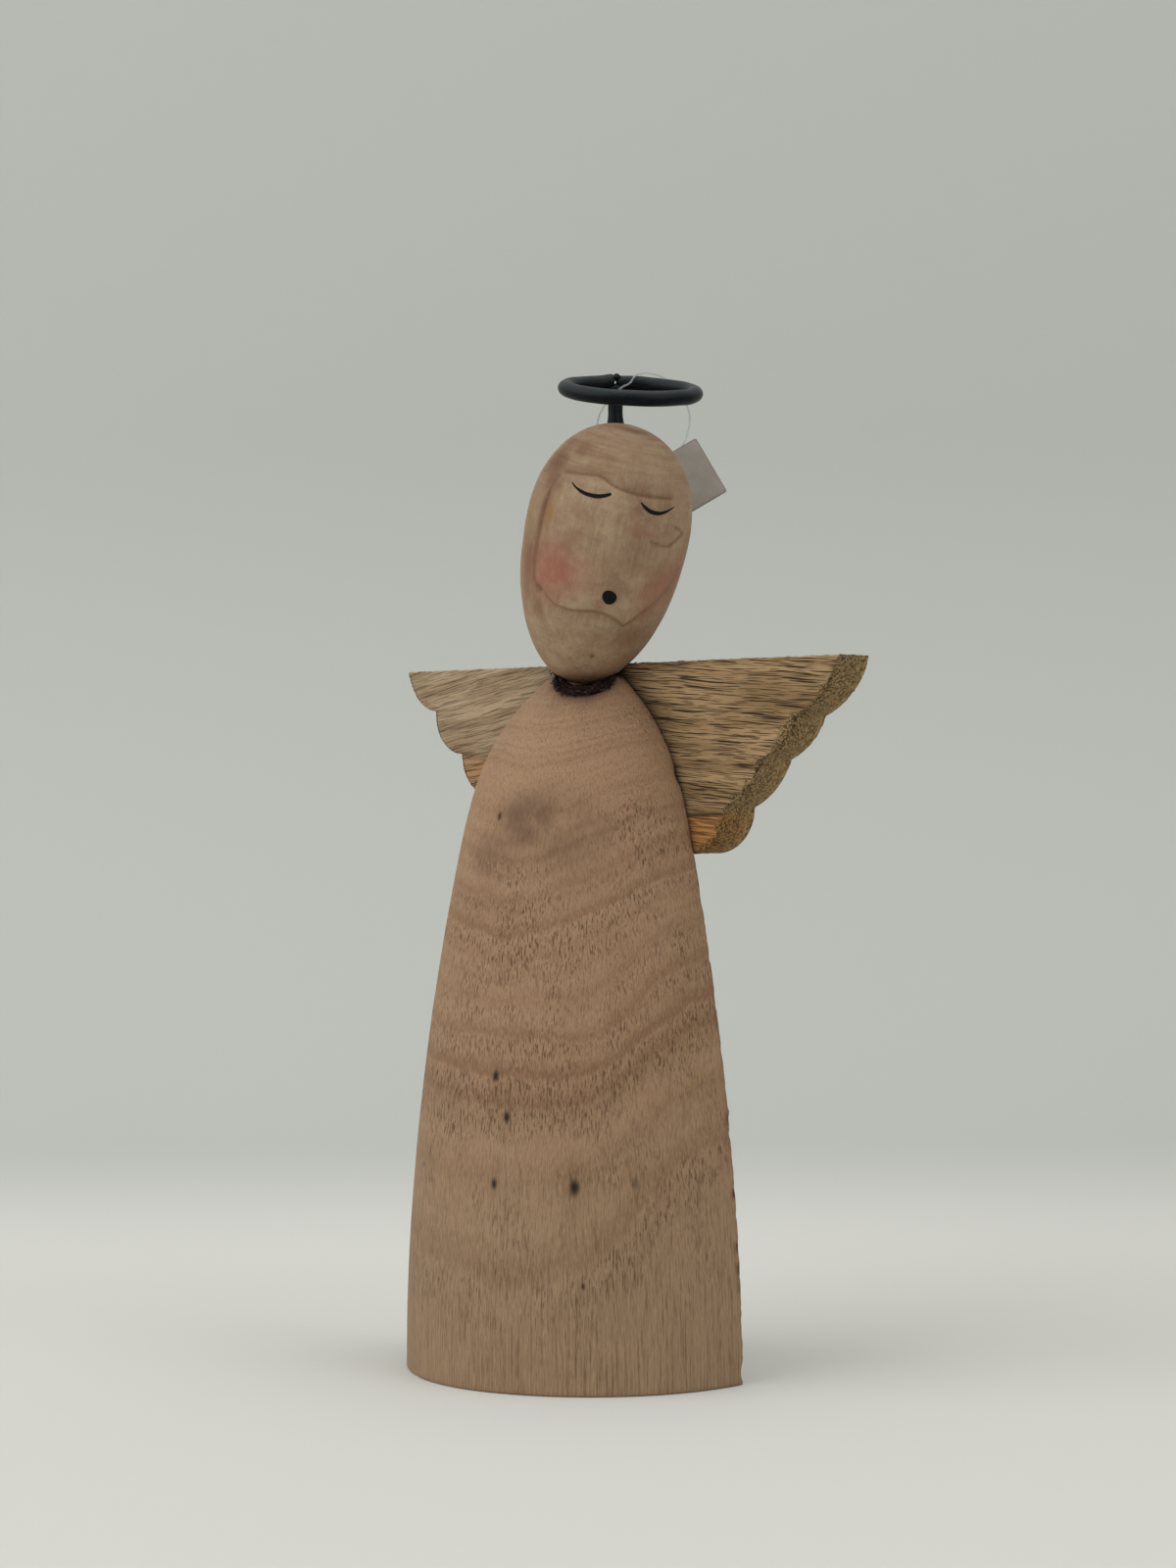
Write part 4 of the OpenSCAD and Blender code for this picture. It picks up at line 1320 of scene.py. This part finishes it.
# %% Card finish
card = Finish("grey_tag_card")
paper = card.grain((0.35, 0.35, 0.35), 3.0, 0.6)
mottle = card.grain((5, 5, 5), 2.0)
card.colour = card.blend(card.ease(mottle, 0.3, 0.7), srgb(150, 143, 135), srgb(160, 153, 144))
card.coat(card.ease(paper, 0.4, 0.75) * 0.25, srgb(172, 166, 158))
# Painted shade: darker along the card's edges.
card.coat(card.painted("rim") * 0.6, srgb(92, 85, 79))
card_finish = card.surface(
    Base_Color=card.colour,
    Roughness=0.8 + paper * 0.12,
    Specular_IOR_Level=0.2,
    Normal=card.bump(paper, 0.03),
)
card_points = card_hole + card_points @ card_turn.T
make_piece("swing_card", card_points, card_faces, card_finish, "tag", "tag_card", card_paint)

# %% [markdown]
# ## Nails
# Four flat-head nails hold the boards from behind. They are alike, so one nail is turned, and a
# Geometry Nodes tree sets it on the corners of a grid with a small random spin. The tree's inputs
# are the sizes that place the nails.

# %% One nail
NAIL_X, UPPER_DROP, LOWER_DROP = 20.0, 26.0, 39.0
NAIL_R, NAIL_HEAD_R, NAIL_HEAD_T, NAIL_BITE = 0.8, 1.8, 0.7, 12.0
steel = Finish("nail_steel")
steel_wear = steel.grain((0.8, 0.8, 0.8), 3.0, 0.6)
steel_finish = steel.surface(
    Base_Color=steel.blend(steel.ease(steel_wear, 0.5, 0.75), srgb(122, 122, 124), srgb(86, 72, 62)),
    Roughness=0.34 + steel_wear * 0.3,
    Metallic=1.0 - steel.ease(steel_wear, 0.6, 0.8) * 0.6,
    Normal=steel.bump(steel_wear, 0.05),
)
nail_profile = [
    (0, NAIL_HEAD_T), (0.6, 0.68), (1.2, 0.6), (1.62, 0.45), (NAIL_HEAD_R, 0.22), (1.74, 0.05), (1.5, 0.0),
    (NAIL_R, 0.0), (NAIL_R, -4.0), (NAIL_R, -12.0), (NAIL_R, -21.5), (0.3, -23.6),
    (0, -WING_T - NAIL_BITE + 0.1),
]
nail_points, nail_faces = lathe(nail_profile[::-1], 24)
dents = grain_noise(nail_points, (0.8, 0.8, 5), 51) * 0.05
nail_points[:, 2] += np.where(nail_points[:, 2] > 0.3, dents, 0)
nail_mesh = bpy.data.meshes.new("one_nail")
nail_mesh.from_pydata((nail_points * MM).tolist(), [], [tuple(int(i) for i in f) for f in nail_faces])
one_nail = bpy.data.objects.new("one_nail", nail_mesh)
print("one nail:", len(nail_points), "points")


# %% Geometry Nodes tools
def open_tree(name, sockets):
    """A new Geometry Nodes tree with the given inputs and one geometry output."""
    tree = bpy.data.node_groups.new(name, "GeometryNodeTree")
    for label, kind in sockets.items():
        tree.interface.new_socket(label, in_out="INPUT", socket_type="NodeSocket" + kind)
    tree.interface.new_socket("Geometry", in_out="OUTPUT", socket_type="NodeSocketGeometry")
    return tree, tree.nodes.new("NodeGroupInput").outputs


def tree_node(tree, kind, **inputs):
    """A node with its inputs set or linked, with _ for the spaces in their names."""
    made = tree.nodes.new(kind)
    for name, value in inputs.items():
        socket = made.inputs[name.replace("_", " ")]
        if isinstance(value, bpy.types.NodeSocket):
            tree.links.new(value, socket)
        else:
            socket.default_value = value
    return made


def random_vector(tree, low, high, seed):
    made = tree.nodes.new("FunctionNodeRandomValue")
    made.data_type = "FLOAT_VECTOR"
    made.inputs[0].default_value = low
    made.inputs[1].default_value = high
    made.inputs["Seed"].default_value = seed
    return made.outputs[0]


def grown_mesh(tree, last, values):
    """Closes a tree with its last node and returns the mesh that it makes from the values."""
    tree.links.new(last.outputs[0], tree.nodes.new("NodeGroupOutput").inputs[0])
    holder = add_object("holder", bpy.data.meshes.new("holder"))
    modifier = holder.modifiers.new("grow", "NODES")
    modifier.node_group = tree
    for item in tree.interface.items_tree:
        if item.in_out == "INPUT":
            modifier[item.identifier] = values[item.name]
    evaluated = holder.evaluated_get(bpy.context.evaluated_depsgraph_get())
    mesh = bpy.data.meshes.new_from_object(evaluated)
    holder.modifiers.remove(modifier)
    bpy.data.objects.remove(holder)
    return mesh


print("Geometry Nodes tools ready")

# %% Nails on a grid
nail_tree, given = open_tree(
    "nails_on_a_grid", {"Nail": "Object", "Width": "Float", "Height": "Float", "Finish": "Material"}
)
grid = tree_node(
    nail_tree,
    "GeometryNodeMeshGrid",
    Size_X=given["Width"],
    Size_Y=given["Height"],
    Vertices_X=2,
    Vertices_Y=2,
)
source = tree_node(nail_tree, "GeometryNodeObjectInfo", Object=given["Nail"])
placed = tree_node(
    nail_tree,
    "GeometryNodeInstanceOnPoints",
    Points=grid.outputs["Mesh"],
    Instance=source.outputs["Geometry"],
    Rotation=random_vector(nail_tree, (0, 0, 0), (0, 0, 2 * math.pi), 7),
)
solid = tree_node(nail_tree, "GeometryNodeRealizeInstances", Geometry=placed.outputs[0])
coated = tree_node(
    nail_tree, "GeometryNodeSetMaterial", Geometry=solid.outputs[0], Material=given["Finish"]
)
nail_values = {"Nail": one_nail, "Width": 2 * NAIL_X * MM, "Height": (LOWER_DROP - UPPER_DROP) * MM}
nails_mesh = grown_mesh(nail_tree, coated, {**nail_values, "Finish": steel_finish})
bpy.data.objects.remove(one_nail)
nail_height = (WING_TOP - (UPPER_DROP + LOWER_DROP) / 2) * MM
nail_place = Matrix.Translation((0, (BACK_Y + WING_T) * MM, nail_height))
nails_mesh.transform(nail_place @ Matrix.Rotation(-math.pi / 2, 4, "X"))
nails_mesh.shade_smooth()
nails = add_object("wing_nail_set", nails_mesh)
finish_piece(nails, "gown", "wing_nails")
print("nails:", len(nails_mesh.vertices), "points")

# %% [markdown]
# ## Neck
# Dark fibres of glue and felt fill the scoop under the chin. They repeat and follow the seat, so
# Geometry Nodes lay them: a guide curve runs round the seat, and many short bent hairs are set
# along it with random turns. The dowel inside the neck keeps its CAD shape and gets a wood finish.

# %% Fibre finish
felt = Finish("dark_neck_fibre")
felt_tone = felt.grain((0.9, 0.9, 0.9), 2.0)
felt_finish = felt.surface(
    Base_Color=felt.blend(felt.ease(felt_tone, 0.5, 0.8), srgb(36, 23, 21), srgb(92, 68, 62)),
    Roughness=0.85 + felt_tone * 0.1,
    Specular_IOR_Level=0.15,
    Normal=felt.bump(felt_tone, 0.05),
)
print("finish:", felt_finish.name)

# %% Hairs along a curve
hair_sockets = {"Guide": "Object", "Count": "Int", "Length": "Float", "Radius": "Float", "Finish": "Material"}
hair_tree, given = open_tree("hairs_along_a_curve", hair_sockets)
guide = tree_node(hair_tree, "GeometryNodeObjectInfo", Object=given["Guide"])
spaced = tree_node(
    hair_tree, "GeometryNodeCurveToPoints", Curve=guide.outputs["Geometry"], Count=given["Count"]
)
hair = tree_node(hair_tree, "GeometryNodeCurveQuadraticBezier", Resolution=5)
for end, factor, axis in (("Start", -0.5, "Z"), ("Middle", 0.12, "X"), ("End", 0.5, "Z")):
    product = hair_tree.nodes.new("ShaderNodeMath")
    product.operation = "MULTIPLY"
    hair_tree.links.new(given["Length"], product.inputs[0])
    product.inputs[1].default_value = factor
    place = tree_node(hair_tree, "ShaderNodeCombineXYZ", **{axis: product.outputs[0]})
    hair_tree.links.new(place.outputs[0], hair.inputs[end])
tumble = random_vector(hair_tree, (-0.35, -0.35, 0), (0.35, 0.35, 2 * math.pi), 12)
spread = random_vector(hair_tree, (-0.0007, -0.0007, -0.0009), (0.0007, 0.0007, 0.0009), 29)
scattered = tree_node(hair_tree, "GeometryNodeSetPosition", Geometry=spaced.outputs["Points"], Offset=spread)
laid = tree_node(
    hair_tree,
    "GeometryNodeInstanceOnPoints",
    Points=scattered.outputs[0],
    Instance=hair.outputs[0],
    Rotation=spaced.outputs["Rotation"],
)
tumbled = tree_node(hair_tree, "GeometryNodeRotateInstances", Instances=laid.outputs[0], Rotation=tumble)
strands = tree_node(hair_tree, "GeometryNodeRealizeInstances", Geometry=tumbled.outputs[0])
section = tree_node(hair_tree, "GeometryNodeCurvePrimitiveCircle", Resolution=5, Radius=given["Radius"])
tubes = tree_node(
    hair_tree,
    "GeometryNodeCurveToMesh",
    Curve=strands.outputs[0],
    Profile_Curve=section.outputs[0],
    Fill_Caps=True,
)
coated = tree_node(
    hair_tree, "GeometryNodeSetMaterial", Geometry=tubes.outputs[0], Material=given["Finish"]
)
print("hair tree:", len(hair_tree.nodes), "nodes")

# %% Guide round the seat, and the fibres
seat_turns = np.radians(np.linspace(-30, 112, 60))
seat_guides = []
for layer_drop, layer_out in ((0.35, 0.93), (0.55, 0.80), (0.8, 0.66)):
    lip_at = np.interp(seat_turns, front_turn, lip[: FRONT_COLUMNS + 1])
    lip_r = gown_radius(lip_at)
    lip_xy = np.stack([lip_r * np.sin(seat_turns), BACK_Y - lip_r * np.cos(seat_turns)], axis=1)
    lip_xy = cap_middle + (lip_xy - cap_middle) * layer_out
    away = np.linalg.norm(lip_xy - scoop_middle[:2], axis=1)
    floor_z = scoop_middle[2] - np.sqrt(np.maximum(SCOOP_R**2 - away**2, 0))
    guide_z = np.minimum(floor_z, lip_at + 1) + layer_drop
    seat_guides.append(np.concatenate([lip_xy, guide_z[:, None]], axis=1))
guide_curve = bpy.data.curves.new("seat_guide", "CURVE")
guide_curve.dimensions = "3D"
seat_guides.append(np.array([(3, 18.6, 174.9), (6.4, 20.8, 175.4), (9.6, 23.2, 175.9)]))
seat_guides.append(np.array([(4, 20.6, 176.2), (7.2, 22.4, 176.4), (9.8, 25.0, 176.8)]))
for line in seat_guides:
    strand = guide_curve.splines.new("POLY")
    strand.points.add(len(line) - 1)
    strand.points.foreach_set("co", np.insert(line * MM, 3, 1.0, axis=1).ravel())
guide_object = bpy.data.objects.new("seat_guide", guide_curve)
hair_values = {"Guide": guide_object, "Count": 110, "Length": 5.0 * MM, "Radius": 0.14 * MM}
fibre_mesh = grown_mesh(hair_tree, coated, {**hair_values, "Finish": felt_finish})
bpy.data.objects.remove(guide_object)
fibres = add_object("neck_fibres", fibre_mesh)
finish_piece(fibres, "gown", None)
print("neck fibres:", len(fibre_mesh.polygons), "faces")

# %% Dowel finish
dowel = Finish("plain_dowel_wood")
dowel_streak = dowel.grain((0.4, 0.4, 12), 3.0, 0.6)
dowel_finish = dowel.surface(
    Base_Color=dowel.blend(dowel.ease(dowel_streak, 0.35, 0.7), srgb(176, 142, 102), srgb(146, 112, 76)),
    Roughness=0.6 + dowel_streak * 0.2,
    Normal=dowel.bump(dowel_streak, 0.06),
)
dowel_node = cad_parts["neck_dowel"]
dowel_node.data.materials.clear()
dowel_node.data.materials.append(dowel_finish)
print("dowel keeps its CAD shape, finish:", dowel_finish.name)

# %% [markdown]
# ## Stage and light
# The figure stands on a pale sweep that curves up into a backdrop, as in a small photo tent. The
# light is soft and comes mostly from the left. One large lamp, two weaker ones and an even sky give
# it, at a level where a colour renders about as it is written. The sweep is clear from its outer
# side, so that the figure can also be looked at from behind.

# %% Sweep
SWEEP_BACK = 0.15
SWEEP_R = 0.28
SWEEP_HALF = 4.0
level_ahead = np.array([ahead[0], ahead[1], 0]) / np.hypot(ahead[0], ahead[1])
level_right = np.array([level_ahead[1], -level_ahead[0], 0])
curve_turn = np.linspace(0, math.pi / 2, 24)
profile = [(-3.0, 0.0), (0.0, 0.0)]
profile += [(SWEEP_BACK + SWEEP_R * math.sin(t), SWEEP_R * (1 - math.cos(t))) for t in curve_turn]
profile += [(SWEEP_BACK + SWEEP_R, 3.0)]
sweep_sides = (-SWEEP_HALF, SWEEP_HALF)
sweep_points = [level_ahead * d + level_right * s + (0, 0, z) for d, z in profile for s in sweep_sides]
sweep_faces = [(2 * i, 2 * i + 1, 2 * i + 3, 2 * i + 2) for i in range(len(profile) - 1)]
sweep_mesh = bpy.data.meshes.new("sweep")
sweep_mesh.from_pydata([tuple(p) for p in sweep_points], [], sweep_faces)
sweep_mesh.shade_smooth()
paper_sweep = Finish("pale_sweep")
# Painted shade: one sheet of paper, coloured darker where it rises into the backdrop than on the floor.
sweep_finish = paper_sweep.surface(
    Base_Color=paper_sweep.blend(
        paper_sweep.ease(paper_sweep.axis("Z"), 0.0, 0.03), srgb(212, 212, 207), srgb(184, 187, 182)
    ),
    Roughness=0.9,
    Specular_IOR_Level=0.1,
    Alpha=1 - paper_sweep.node("ShaderNodeNewGeometry", {}, {}, "Backfacing"),
)
sweep_mesh.materials.append(sweep_finish)
sweep = add_object("sweep", sweep_mesh)
sweep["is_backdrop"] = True
print("sweep:", len(sweep_mesh.polygons), "faces")

# %% Lamps
LAMP_AIM = np.array([0, 0.02, 0.13])


def soft_lamp(name, place, size, power):
    lamp_data = bpy.data.lights.new(name, "AREA")
    lamp_data.shape = "DISK"
    lamp_data.size = size
    lamp_data.energy = power
    lamp = add_object(name, lamp_data)
    lamp.location = place
    aim = LAMP_AIM - place
    lamp.rotation_euler = Vector(aim).to_track_quat("-Z", "Y").to_euler()


# Each lamp is its place to the right, ahead and up as the camera sees it, its size and its power
lamps = {
    "key_lamp": (-1.3, -0.5, 0.9, 2.2, 17.0),
    "top_lamp": (0.2, 0.1, 1.6, 1.4, 9.0),
    "fill_lamp": (1.1, -1.0, 0.7, 1.2, 4.5),
}
for name, (to_right, to_ahead, height, size, power) in lamps.items():
    soft_lamp(name, to_right * level_right + to_ahead * level_ahead + (0, 0, height), size, power)
world = bpy.data.worlds.new("soft_sky")
world.use_nodes = True
sky = world.node_tree.nodes["Background"].inputs
sky["Color"].default_value = (1.0, 0.99, 0.965, 1.0)
sky["Strength"].default_value = 0.5
scene.world = world
scene.view_settings.view_transform = "Standard"
print("lamps and sky set")

# %% Compare the size with the frame and finish
visual_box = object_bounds()
growth = (np.array(visual_box) - np.array(cad_box)) / MM
print("size grows by", growth.round(2).tolist(), "mm")
